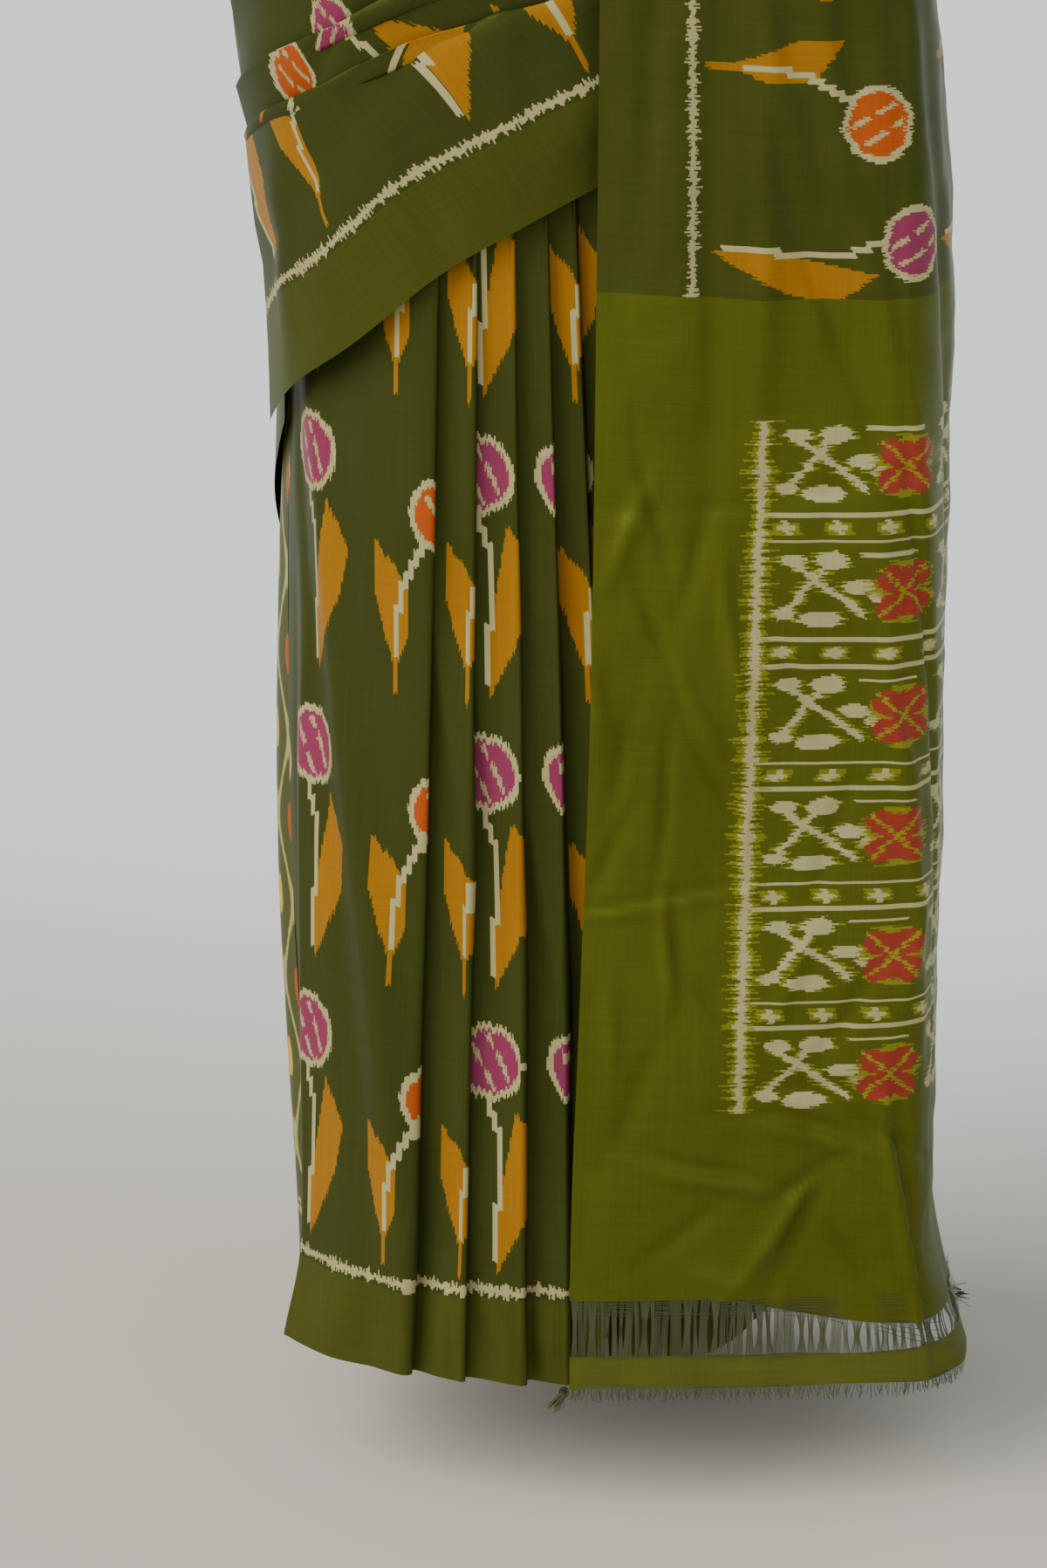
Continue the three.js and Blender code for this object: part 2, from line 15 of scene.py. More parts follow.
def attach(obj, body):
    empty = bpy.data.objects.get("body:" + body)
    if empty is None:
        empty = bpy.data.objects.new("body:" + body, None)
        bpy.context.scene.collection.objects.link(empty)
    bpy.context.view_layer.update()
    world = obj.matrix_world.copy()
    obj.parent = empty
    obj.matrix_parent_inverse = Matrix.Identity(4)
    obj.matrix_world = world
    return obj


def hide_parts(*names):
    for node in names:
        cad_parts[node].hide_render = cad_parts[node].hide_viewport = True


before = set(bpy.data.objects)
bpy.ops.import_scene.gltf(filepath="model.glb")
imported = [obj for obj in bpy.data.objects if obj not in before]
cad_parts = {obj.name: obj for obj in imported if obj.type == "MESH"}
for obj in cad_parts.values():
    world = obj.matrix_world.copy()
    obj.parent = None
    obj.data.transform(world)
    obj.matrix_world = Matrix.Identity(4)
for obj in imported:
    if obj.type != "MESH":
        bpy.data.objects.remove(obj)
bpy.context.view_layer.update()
rng = random.Random(11)

# Sizes shared with the solids
HEM = -1016
TUCK = 12
SIDE_SEAM = -74
PLEATS_END = 66
WRAP_OUT = 6.8
BAND_HEIGHT = 20
OPEN_HEIGHT = 34
FRINGE = 8
FLOOR = -1090

# The figure under the cloth: its reach to the side, the front and the back at each height
FIGURE = {
    "z": [HEM, -974, -864, -756, -560, -445, -355, -250, -170, -80, 0, 90, 170, 230, 300, 350, 380],
    "side": [133, 133, 138, 142, 142, 139.5, 147, 161, 160, 141, 122, 127, 138, 146, 152, 146, 132],
    "front": [116, 114, 111, 109, 108, 108, 110, 112, 110, 100, 90, 97, 118, 110, 84, 44, 10],
    "back": [114, 113, 112, 113, 117, 123, 131, 135, 128, 104, 88, 90, 96, 100, 90, 52, 14],
}
SHOULDER_FROM = 230
SHOULDER_TO = 380
SHOULDER_SLOPE = 0.22

# How far the whole stack of front pleats stands off the figure, and the angles it fades out over
STACK = {"z": [HEM, -700, -350, 12], "out": [30, 28, 24, 15]}
STACK_LEFT = (-80, -34)
STACK_RIGHT = (74, 36)
STACK_SIDE = 7

# Front pleats at four heights: sideways place of each fold edge, step between layers, depth of fold
PLEAT_LEVELS = [12, -350, -709, HEM]
PLEAT_EDGES = [
    [-46, -55, -65, -77],
    [-31, -34, -38, -43],
    [-16, -13, -8, -7],
    [-2, 6, 16, 19],
    [11, 22, 38, 43],
    [24, 39, 60, 67],
    [37, 56, 82, 91],
]
PLEAT_STEP = [1.8, 2.6, 3.7, 3.9]
PLEAT_DEPTH = [19, 38, 46, 50]
# Where along the cloth each fold edge falls, so that the flowers show on the pleats as they do
PLEAT_CLOTH = [
    [86, 86, 80, 77],
    [228] * 4,
    [344, 343, 341, 339],
    [472] * 4,
    [553] * 4,
    [679] * 4,
    [805] * 4,
]

# The wide panel's soft fold at the wearer's right: angles, and distances off the figure
SIDE_FOLD = {
    "z": [12, -350, -480, -640, -800, -950, HEM],
    "seam": [-77, -77, -77, -76, -75, -74, -74],
    "valley": [-68, -68, -67, -66, -67, -68, -68.5],
    "ridge": [-56, -56, -56, -58, -59, -60, -62],
    "ridge_out": [8, 8.5, 10, 13.5, 17, 22, 33],
    "valley_out": [4.6, 5.5, 6.5, 4.4, 4, 4, 4.4],
}

# Lower and upper edge of the second wrap, round the back
WRAP_EDGES = {
    "angle": [66, 110, 150, 190, 230, 260, 286],
    "low": [HEM, -1008, -940, -820, -660, -548, -478],
    "top": [TUCK, TUCK, TUCK, TUCK + 4, 70, 160, 205],
}

# Lower and upper edge of the drape, from the right hip to the left shoulder
DRAPE_LOW_ANGLE = [-74, -55, -37, -18, -2, 10, 27, 44, 58, 65, 67, 67, 68]
DRAPE_LOW_Z = [-478, -446, -416, -373, -345, -325, -299, -256, -188, -90, 20, 130, 235]
DRAPE_HIGH_ANGLE = [-74, -62, -52, -42, -32, -22, -13, -5, 2, 8, 13, 17, 21]
DRAPE_HIGH_Z = [205, 207, 212, 219, 228, 239, 251, 264, 278, 292, 306, 321, 338]
# Its laid pleats: share of the way up at the hip, in the middle and at the shoulder
DRAPE_PLEATS = [
    (0.24, 0.17, 0.15),
    (0.28, 0.225, 0.29),
    (0.45, 0.4, 0.43),
    (0.62, 0.56, 0.57),
    (0.78, 0.72, 0.71),
    (0.9, 0.87, 0.86),
]
DRAPE_CLEAR = 2.5
DRAPE_STEP = 2
DRAPE_TOP = 5.8
DRAPE_DEPTH = (5, 17, 7)
DRAPE_UNDER = 2.4  # gap below the loose end on the shoulder
DRAPE_SHOULDER = {"from": 0.2, "to": 0.03, "z": 366, "width": 120}

# Lines round the loose end: height, then x and y at each share of its width
FALL_SHARES = [0, 0.06, 0.13, 0.18, 0.24, 0.32, 0.42, 0.56, 0.7, 0.85, 1]
FALL = [
    (
        404,
        [70, 76, 84, 90, 96, 100, 98, 92, 84, 76, 68],
        [-12, -14, -15, -12, -7, 0, 7, 12, 14, 14, 12],
    ),
    (
        392,
        [58, 74, 96, 112, 124, 130, 126, 112, 92, 72, 56],
        [-30, -36, -38, -30, -16, 0, 16, 30, 37, 38, 34],
    ),
    (
        360,
        [50, 78, 116, 146, 166, 174, 166, 142, 108, 74, 46],
        [-66, -74, -74, -58, -30, 0, 32, 58, 74, 78, 72],
    ),
    (
        310,
        [46, 80, 126, 164, 190, 198, 188, 156, 112, 66, 28],
        [-112, -118, -110, -84, -44, 0, 46, 80, 100, 106, 102],
    ),
    (
        255,
        [44, 82, 132, 172, 198, 206, 196, 158, 108, 56, 12],
        [-144, -146, -134, -104, -54, -2, 52, 94, 116, 122, 120],
    ),
    (
        150,
        [40, 84, 136, 178, 203, 209, 200, 160, 104, 46, -6],
        [-158, -158, -146, -114, -60, -4, 58, 106, 128, 132, 130],
    ),
    (
        0,
        [36, 84, 140, 186, 206, 210, 202, 158, 98, 34, -24],
        [-160, -161, -150, -124, -64, -2, 64, 118, 138, 142, 138],
    ),
    (
        -200,
        [33, 84, 146, 198, 212, 214, 204, 158, 92, 22, -40],
        [-160, -163, -153, -136, -66, 0, 70, 134, 160, 164, 160],
    ),
    (
        -350,
        [32, 86, 152, 208, 227, 226, 208, 156, 88, 16, -48],
        [-160, -164, -154, -140, -68, 2, 74, 138, 164, 166, 162],
    ),
    (
        -620,
        [29, 84, 153, 212, 229, 226, 206, 152, 82, 10, -54],
        [-164, -162, -152, -138, -66, 4, 74, 134, 156, 158, 154],
    ),
    (
        -890,
        [20, 80, 151, 213, 230, 226, 204, 148, 78, 6, -58],
        [-167, -160, -148, -134, -62, 8, 76, 132, 152, 152, 148],
    ),
    (
        -945,
        [19, 79, 151, 213, 231, 227, 204, 148, 78, 6, -58],
        [-168, -160, -148, -134, -66, 8, 76, 132, 152, 152, 148],
    ),
    (
        -1008,
        [19, 78, 152, 222, 248, 240, 208, 146, 76, 4, -60],
        [-168, -160, -150, -138, -96, 4, 76, 132, 150, 150, 146],
    ),
]
FALL_END = {"share": [0, 0.18, 0.45, 1], "z": [-1008, -1015, -1012, -1004]}
FALL_TOP = 404
FLUTES = {"from": 0.36, "count": 6.5, "top": 5, "bottom": 44}
FRONT_SHARE = 0.34  # this share of the loose end is in front, and gets the finer mesh
FRONT_COLUMNS = 130
BACK_COLUMNS = 130

# The woven pattern
CLOTH_WIDTH = 1150
PALLU_PHASE = 656.5  # how far above the loose end's end a magenta plant stands
DRAPE_PHASE = -77  # where along the cloth the drape starts at the right hip
BORDER_LINE = 55  # from each selvage
FLOWERS_WITHIN = (61, 1088)  # across the cloth
NET_WITHIN = (60, 1090)
NET_MESH = (44, 100)  # repeat along and across the cloth
FLOWER_LENGTH = 162  # repeat along the cloth
FLOWER_HEIGHT = 169.5  # repeat across it
BLOCK_TOP = 565  # the loose end's block of rows, measured from its end
BLOCK_ROW = 70.2
BLOCK_ROWS = 6
BLOCK_START = 99  # from the lower selvage
BLOCK_MOTIF = 107
BODY_FROM = 631  # from here on the cloth has flowers
TIE = 4.4  # threads tied together for dyeing
BUNDLE = 3.2  # width of a stem
THREAD = 0.9
STEP = 1.4  # the stepped edge of a shape, along the cloth
NEAR_SELVAGE = 1.06  # how much closer the pattern lies to the selvage of the drape and the loose end

# Colours as seen on screen
GREEN = (58, 63, 25)
GREEN_END = (80, 85, 25)
GREEN_NET = (73, 78, 38)
GREEN_BAND = (86, 91, 34)
LEAF = (154, 105, 22)
MAGENTA = (136, 54, 84)
ORANGE = (172, 78, 28)
RED = (142, 55, 42)
YELLOW = (206, 178, 40)
CREAM = (171, 164, 116)
HALO = (134, 134, 40)
THREADS = (60, 63, 30)
GLOSS = (160, 164, 100)

# Unevenness of the dye along the weft, along the warp and in blotches, and the weave's relief in metres
UNEVEN = (0.3, 0.22, 0.35)
WEAVE = 0.00006
ROUGHNESS = 0.4

# The studio: sun, its spread in degrees and its direction; floor near and far, the far colour being painted
# light that stands in for a brightly lit backdrop; sky, lamps
SUN_POWER = 3.4
SUN_SPREAD = 58
SUN_DIRECTION = (0.74, 0.36, -0.6)
SUN_COLOUR = (255, 250, 243)
FLOOR_NEAR = (208, 202, 189)
FLOOR_FAR_PAINTED_LIGHT = (244, 249, 251)
FLOOR_REACH = 60
SKY = (232, 238, 244)
SKY_POWER = 0.66
LAMPS = [
    ("fill", (1.8, -3.0, 0.5), 2.0, 14, (238, 244, 255)),
    ("front", (-0.4, -3.4, 1.0), 1.4, 16, (255, 252, 248)),
]
EYE = (-0.00706, -3.0, 0.24569)
LOOK_DOWN = 17.533
LENS = 125.05


def mix(a, b, t):
    return a + (b - a) * t


def clamp(t):
    return min(1.0, max(0.0, t))


def ease(t):
    t = clamp(t)
    return t * t * (3 - 2 * t)


def steps(start, end, count):
    return [mix(start, end, i / count) for i in range(count + 1)]


def through(xs, ys, x):
    """A smooth curve through the points, as in the solids."""
    rising = xs[-1] > xs[0]
    last = len(xs) - 1
    i = 0
    while i < last - 1 and (x > xs[i + 1] if rising else x < xs[i + 1]):
        i += 1

    def slope(k):
        a, b = max(0, k - 1), min(last, k + 1)
        return (ys[b] - ys[a]) / (xs[b] - xs[a])

    h = xs[i + 1] - xs[i]
    t = clamp((x - xs[i]) / h)
    t2, t3 = t * t, t * t * t
    return (
        (2 * t3 - 3 * t2 + 1) * ys[i]
        + (t3 - 2 * t2 + t) * h * slope(i)
        + (3 * t2 - 2 * t3) * ys[i + 1]
        + (t3 - t2) * h * slope(i + 1)
    )


def figure_point(angle, z):
    turn = math.radians(angle)
    depth = through(FIGURE["z"], FIGURE["front" if math.cos(turn) > 0 else "back"], z)
    x = through(FIGURE["z"], FIGURE["side"], z) * math.sin(turn)
    drop = SHOULDER_SLOPE * abs(x) * ease((z - SHOULDER_FROM) / (SHOULDER_TO - SHOULDER_FROM))
    return Vector((x, -depth * math.cos(turn), z - drop))


def on_figure(angle, z, out):
    """The point that stands off the figure by out, square to its surface."""
    around = figure_point(angle + 0.5, z) - figure_point(angle - 0.5, z)
    rise = figure_point(angle, z + 0.5) - figure_point(angle, z - 0.5)
    return figure_point(angle, z) + around.cross(rise).normalized() * out


def stack_out(z):
    return through(STACK["z"], STACK["out"], z)


def stack_at(angle, z):
    """How far the outermost layer of the front pleats stands off the figure."""
    rise = ease((angle - STACK_LEFT[0]) / (STACK_LEFT[1] - STACK_LEFT[0]))
    fall = ease((angle - STACK_RIGHT[0]) / (STACK_RIGHT[1] - STACK_RIGHT[0]))
    return mix(STACK_SIDE, stack_out(z), min(rise, fall))


def layer_depth(layer, edges, step, at):
    """How far below the outermost layer one lies: layers are a step apart, and the pack comes out two
    steps from each fold edge to the next."""
    k = 0
    while k < len(edges) - 1 and at > edges[k + 1]:
        k += 1
    span = edges[k + 1] - edges[k] if k + 1 < len(edges) else 1
    gained = 0 if at <= edges[0] else 2 * (k + min(1, (at - edges[k]) / span))
    return (layer - gained) * step


def ripple(x, z, size, seed):
    """Soft uneven rise and fall of hanging silk, from -1 to 1."""
    return noise.noise(Vector((x / size, z / size, seed)))


def cloth(name, rows, uvs, material, node):
    """A sheet of cloth through rows of points in millimetres, with cloth coordinates in metres."""
    wide = len(rows[0])
    vertices = [p / 1000 for row in rows for p in row]
    faces = []
    for i in range(len(rows) - 1):
        for j in range(wide - 1):
            a = i * wide + j
            faces.append((a, a + wide, a + wide + 1, a + 1))
    mesh = bpy.data.meshes.new(name)
    mesh.from_pydata(vertices, [], faces)
    layer = mesh.uv_layers.new(name="Cloth")
    flat_uvs = [uv for row in uvs for uv in row]
    for loop in mesh.loops:
        s, v = flat_uvs[loop.vertex_index]
        layer.data[loop.index].uv = (s / 1000, v / 1000)
    mesh.shade_smooth()
    mesh.materials.append(material)
    piece = bpy.data.objects.new(name, mesh)
    bpy.context.scene.collection.objects.link(piece)
    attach(piece, "root")
    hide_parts(node)


def push(rows, amount):
    """The rows moved inward along their own normals by amount(i, j), in millimetres."""
    high, wide = len(rows), len(rows[0])
    moved = []
    for i in range(high):
        line = []
        for j in range(wide):
            along = rows[i][min(j + 1, wide - 1)] - rows[i][max(j - 1, 0)]
            down = rows[min(i + 1, high - 1)][j] - rows[max(i - 1, 0)][j]
            line.append(rows[i][j] + along.cross(down).normalized() * amount(i, j))
        moved.append(line)
    return moved


def arc_lengths(points):
    """Running length along a line of points."""
    lengths = [0.0]
    for a, b in zip(points, points[1:]):
        lengths.append(lengths[-1] + (b - a).length)
    return lengths


# Shader values


class Node:
    """A number worked out by shader nodes; plain arithmetic on it adds the nodes."""

    def __init__(self, tree, socket):
        self.tree = tree
        self.socket = socket

    def math(self, operation, *others):
        node = self.tree.nodes.new("ShaderNodeMath")
        node.operation = operation
        for place, item in enumerate((self,) + others):
            if isinstance(item, Node):
                self.tree.links.new(item.socket, node.inputs[place])
            else:
                node.inputs[place].default_value = item
        return Node(self.tree, node.outputs[0])

    def __add__(self, other):
        return self.math("ADD", other)

    def __sub__(self, other):
        return self.math("SUBTRACT", other)

    def __rsub__(self, other):
        return self * -1 + other

    def __mul__(self, other):
        return self.math("MULTIPLY", other)

    def over(self, limit):
        return self.math("GREATER_THAN", limit)

    def under(self, limit):
        return self.math("LESS_THAN", limit)

    def size(self):
        return self.math("ABSOLUTE")

    def floor_to(self, width):
        return (self * (1 / width)).math("FLOOR")

    def wrap(self, low, high):
        return self.math("WRAP", high, low)

    def lowest(self, other):
        return self.math("MINIMUM", other)

    def highest(self, other):
        return self.math("MAXIMUM", other)

    def power(self, exponent):
        return self.math("POWER", exponent)

    def within(self, low, high):
        return self.over(low) * self.under(high)

    def noise(self, seed):
        """A random number from 0 to 1 for each whole number."""
        node = self.tree.nodes.new("ShaderNodeTexWhiteNoise")
        node.noise_dimensions = "1D"
        self.tree.links.new((self + seed).socket, node.inputs["W"])
        return Node(self.tree, node.outputs["Value"])


def linear(rgb):
    """Colour as seen on screen, 0 to 255, to the renderer's own scale."""
    return tuple((c / 255 / 12.92) if c <= 10 else ((c / 255 + 0.055) / 1.055) ** 2.4 for c in rgb) + (1,)


class Dye:
    """The cloth's colour, built up by dyeing shapes over the ground."""

    def __init__(self, name, ground):
        self.material = bpy.data.materials.new(name)
        self.material.use_nodes = True
        self.tree = self.material.node_tree
        self.shader = self.tree.nodes["Principled BSDF"]
        uv = self.tree.nodes.new("ShaderNodeUVMap")
        uv.uv_map = "Cloth"
        self.uv = uv.outputs[0]
        split = self.tree.nodes.new("ShaderNodeSeparateXYZ")
        self.tree.links.new(self.uv, split.inputs[0])
        self.s = Node(self.tree, split.outputs[0]) * 1000
        self.v = Node(self.tree, split.outputs[1]) * 1000
        self.colour = None
        self.ground = ground

    def paint(self, mask, rgb, strength=1.0):
        node = self.tree.nodes.new("ShaderNodeMix")
        node.data_type = "RGBA"
        factor = mask * strength if strength != 1.0 else mask
        self.tree.links.new(factor.socket, node.inputs[0])
        if self.colour is None:
            node.inputs[6].default_value = linear(self.ground)
        else:
            self.tree.links.new(self.colour, node.inputs[6])
        node.inputs[7].default_value = linear(rgb)
        self.colour = node.outputs[2]

    def texture(self, scale_s, scale_v, seed):
        """Streaky noise that runs with the threads."""
        mapping = self.tree.nodes.new("ShaderNodeMapping")
        mapping.inputs["Scale"].default_value = (scale_s, scale_v, 1)
        mapping.inputs["Location"].default_value = (seed, seed, seed)
        self.tree.links.new(self.uv, mapping.inputs[0])
        node = self.tree.nodes.new("ShaderNodeTexNoise")
        node.inputs["Scale"].default_value = 1
        node.inputs["Detail"].default_value = 2
        self.tree.links.new(mapping.outputs[0], node.inputs["Vector"])
        return Node(self.tree, node.outputs[0])

    def finish(self):
        """Uneven dye and thread, silk gloss and a faint weave."""
        weft = self.texture(900, 14, 3)
        warp = self.texture(12, 700, 7)
        blotch = self.texture(9, 9, 12)
        shade = (weft - 0.5) * UNEVEN[0] + (warp - 0.5) * UNEVEN[1] + (blotch - 0.5) * UNEVEN[2] + 1.0
        tone = self.tree.nodes.new("ShaderNodeMix")
        tone.data_type = "RGBA"
        tone.blend_type = "MULTIPLY"
        tone.inputs[0].default_value = 1.0
        self.tree.links.new(self.colour, tone.inputs[6])
        grey = self.tree.nodes.new("ShaderNodeCombineColor")
        for place in range(3):
            self.tree.links.new(shade.socket, grey.inputs[place])
        self.tree.links.new(grey.outputs[0], tone.inputs[7])
        self.tree.links.new(tone.outputs[2], self.shader.inputs["Base Color"])
        bump = self.tree.nodes.new("ShaderNodeBump")
        bump.inputs["Strength"].default_value = 0.2
        bump.inputs["Distance"].default_value = WEAVE
        self.tree.links.new((weft + warp).socket, bump.inputs["Height"])
        self.tree.links.new(bump.outputs[0], self.shader.inputs["Normal"])
        self.shader.inputs["Roughness"].default_value = ROUGHNESS
        self.shader.inputs["Metallic"].default_value = 0.25
        self.shader.inputs["Specular IOR Level"].default_value = 0.14
        self.shader.inputs["Specular Tint"].default_value = linear(GLOSS)
        return self.material

    def feather(self, along, across, reach):
        """across, moved to and fro for each tied bundle and each thread, as tied and dyed yarn is."""
        bundle = along.floor_to(TIE).noise(17.3)
        thread = along.floor_to(THREAD).noise(5.1)
        return across + (bundle - 0.5) * (0.6 * reach) + (thread - 0.5) * reach

    def fine_line(self, along, across, place, half):
        """A line along the cloth whose threads reach out unevenly to both sides."""
        reach = along.floor_to(THREAD).noise(31.7).power(2) * (1.5 * half) + 0.6 * half
        shift = (along.floor_to(THREAD).noise(8.9) - 0.5) * (0.9 * half)
        return ((across + shift - place).size() - reach).under(0)


def disc(x, y, centre_x, centre_y, radius_x, radius_y):
    """How far inside an ellipse: 1 at its edge, 0 at its centre."""
    return ((x - centre_x) * (1 / radius_x)).power(2) + ((y - centre_y) * (1 / radius_y)).power(2)


def blossom(dye, x, y, centre_x, centre_y, rgb):
    """A round blossom: cream edge, dyed heart, slanting cream streaks."""
    away = disc(x, y, centre_x, centre_y, 21, 22.5)
    dye.paint(away.under(1.0), CREAM)
    dye.paint(away.under(0.68), rgb)
    slant = (y - centre_y) + (x - centre_x) * 1.7
    bend = (x - centre_x).power(2) * 0.03
    streaks = (slant + bend - 13).size().under(3.1).highest((slant - bend + 12).size().under(3.1))
    streaks = streaks * ((y - centre_y) * 0.6 - (x - centre_x) - 2).size().over(2.2)
    dye.paint(streaks * away.under(0.5), CREAM, 0.9)


def flowers(dye, where=None):
    """Two plants that alternate along the cloth, in rows across it."""
    inside = dye.v.within(*FLOWERS_WITHIN)
    if where is not None:
        inside = inside * where
    hide = (inside * -1 + 1) * 1000
    y = (dye.feather(dye.s, dye.v, 3.6) - 65 + 12).wrap(0, FLOWER_HEIGHT) - 12
    trim = (dye.s.floor_to(THREAD).noise(3.3) - 0.5) * 1.6
    stem_y = (dye.v + trim - 65 + 12).wrap(0, FLOWER_HEIGHT) - 12
    thread = dye.s.floor_to(STEP) * STEP + STEP / 2

    def plant(place):
        """Distance along the cloth from a plant's foot: by threads for its leaf, unbroken for its stem."""
        return [(at + 30 - place).wrap(0, FLOWER_LENGTH) - 30 + hide for at in (thread, dye.s)]

    def stem(x, parts):
        """A stem in upright steps, each one bundle wide: bundle, foot, top."""
        shape = None
        for bundle, foot, top in parts:
            part = x.within(bundle * BUNDLE, (bundle + 1) * BUNDLE) * stem_y.within(foot, top)
            shape = part if shape is None else shape.highest(part)
        dye.paint(shape, CREAM)

    # Thin stem, leaf to its right, magenta blossom
    x, stem_x = plant(0)
    low = (x * 2.0).highest(x * 5 - 66)
    high = (x * 5.4 + 36).lowest(x * -1.5 + 118)
    dye.paint(x.over(0) * (y - low).over(0) * (high - y).over(0), LEAF)
    stem(stem_x, [(-1, 7, 42), (0, 38, 88), (-1, 85, 97), (-2, 93, 107)])
    blossom(dye, x, y, -4, 126, MAGENTA)
    # Broad leaf with a spike and a rib, stem that curves away, orange blossom
    x, stem_x = plant(62)
    low = (x * -3.2 + 14).highest(x * 2.6 + 10) - x.within(-0.6, 2.8) * 16
    high = x * -1.12 + 72
    dye.paint(x.within(-13, 9.6) * (y - low).over(0) * (high.lowest(85) - y).over(0), LEAF)
    stem(stem_x, [(0, 20, 50), (1, 46, 64), (2, 60, 70), (3, 66, 77), (4, 73, 83), (5, 79, 90)])
    blossom(dye, x, y, 31, 103, ORANGE)


def border_lines(dye, where=None):
    """The feathered cream line along each selvage."""
    line = dye.fine_line(dye.s, dye.v, BORDER_LINE, 2.3)
    line = line.highest(dye.fine_line(dye.s, dye.v, CLOTH_WIDTH - BORDER_LINE, 2.3))
    if where is not None:
        line = line * where
    dye.paint(line, CREAM, 0.92)


def flower_silk():
    dye = Dye("flower_silk", GREEN)
    flowers(dye)
    border_lines(dye)
    hem = dye.v.under(50)
    dye.paint(hem, GREEN_END, 0.35)
    return dye.finish()


def net_silk():
    """The inner end: an ogee net with small flowers in its meshes."""
    dye = Dye("net_silk", GREEN_NET)
    v = dye.feather(dye.s, dye.v, 2.5)
    across = (dye.s * (2 * math.pi / NET_MESH[0])).math("COSINE")
    up = (v * (2 * math.pi / NET_MESH[1])).math("COSINE")
    net = across + up
    inside = dye.v.within(*NET_WITHIN)
    dye.paint((net.size() - 0.05).size().under(0.2) * inside, HALO)
    dye.paint((net.size() - 0.05).size().under(0.1) * inside, CREAM, 0.8)
    dye.paint(net.over(1.72) * inside, ORANGE)
    dye.paint(net.under(-1.72) * inside, YELLOW)
    border_lines(dye)
    return dye.finish()


def sprig(x, y):
    """A cream leafy sprig: crossed stalks with leaves at their ends."""
    shape = ((x - 40) * 0.67 + y - 2).size().under(2.3) * x.within(16, 64)
    shape = shape.highest(((x - 30) * -1.1 + y - 3).size().under(2.9) * x.within(14, 47))
    leaves = [(21, 17, 8, 3.6), (44, 17, 10, 5), (60, 2, 9, 4), (16, -13, 7, 3.4), (38, -16, 13, 4.6)]
    for centre_x, centre_y, radius_x, radius_y in leaves + [(70, -4, 5, 3)]:
        shape = shape.highest(disc(x, y, centre_x, centre_y, radius_x, radius_y).under(1))
    return shape


def red_flower(x, y):
    shape = disc(x, y, 88, -1, 8, 14).under(1)
    for side in (-1, 1):
        for end in (-1, 1):
            shape = shape.highest(disc(x, y, 88 + side * 9.5, end * 8 - 1, 8.5, 7.5).under(1))
    return shape


def pallu_silk():
    """The loose end: flowers above, then a plain part and the block of rows. s runs up from its end."""
    dye = Dye("pallu_silk", GREEN_END)
    up = dye.s
    body = up.over(BODY_FROM)
    dye.paint(body, GREEN, 0.75)
    row = (up.floor_to(STEP) * STEP + STEP / 2 - BLOCK_TOP + 25).wrap(-BLOCK_ROW / 2, BLOCK_ROW / 2)
    in_block = up.within(BLOCK_TOP - BLOCK_ROW * BLOCK_ROWS + 22, BLOCK_TOP)
    here = in_block * dye.v.within(BLOCK_START, CLOTH_WIDTH - BLOCK_START)
    x = (dye.feather(up, dye.v, 3.6) - BLOCK_START).wrap(0, BLOCK_MOTIF)
    wide_x = (dye.feather(up, dye.v, 10) - BLOCK_START).wrap(0, BLOCK_MOTIF)
    motif = here * row.size().under(23)
    dye.paint(sprig(wide_x, row) * motif, HALO, 0.75)
    dye.paint(sprig(x, row) * motif, CREAM)
    dye.paint(disc(wide_x, row, 88, -1, 20, 18).under(1) * motif, HALO, 0.75)
    dye.paint(red_flower(x, row) * motif, RED)
    veins = ((row + 1).size() - (x - 88).size() * 0.85).size().under(1.2) * x.within(72, 104)
    dye.paint(veins * motif, HALO)
    dye.paint((row - 20).size().under(1) * x.within(62, 98) * here, CREAM)
    between = BLOCK_ROW / 2 - row.size()
    dye.paint((between - 7.4).size().under(1.1) * here, CREAM, 0.95)
    spot = (dye.feather(up, dye.v, 3) - BLOCK_START).wrap(0, 31) - 16
    cross = between.under(1.5) * spot.size().under(5.5)
    cross = cross.highest(between.under(4) * spot.size().under(1.9))
    dye.paint(between.under(3.4) * spot.size().under(8) * here, HALO, 0.6)
    dye.paint(cross * here, CREAM, 0.95)
    for half, rgb, strength in ((5.6, HALO, 0.7), (2.6, CREAM, 1.0)):
        near = dye.fine_line(up, dye.v, BLOCK_START, half)
        far = dye.fine_line(up, dye.v, CLOTH_WIDTH - BLOCK_START, half)
        dye.paint(near.highest(far) * in_block, rgb, strength)
    # The flowers of the body run on above, with the plants turned to face along the cloth
    dye.s = up * -1 + PALLU_PHASE
    flowers(dye, body)
    border_lines(dye, body)
    return dye.finish()


def plain_silk(name, rgb):
    dye = Dye(name, rgb)
    dye.paint(dye.s * 0, rgb)
    return dye.finish()


def thread_silk():
    material = bpy.data.materials.new("warp_threads")
    material.use_nodes = True
    shader = material.node_tree.nodes["Principled BSDF"]
    shader.inputs["Base Color"].default_value = linear(THREADS)
    shader.inputs["Roughness"].default_value = ROUGHNESS
    return material


# The stretches of cloth


def first_wrap(material):
    rows, uvs = [], []
    for z in steps(TUCK, HEM, 70):
        end = 360 + through(SIDE_FOLD["z"], SIDE_FOLD["seam"], z) - 0.2
        soft = ease((-420 - z) / 300)
        line = []
        for angle in steps(-22, end, 110):
            ridge = 3 * math.exp(-(((angle - 271) / 9) ** 2)) * soft
            waves = 2.2 * soft * math.sin(math.radians(angle * 7)) * ease((angle - 120) / 60)
            line.append(on_figure(angle, z, 2 + max(0, waves) + ridge))
        rows.append(line)
        run = arc_lengths(line)
        uvs.append([(length - run[-1], z - HEM) for length in run])
    cloth("first_wrap_silk", rows, uvs, material, "first_wrap")


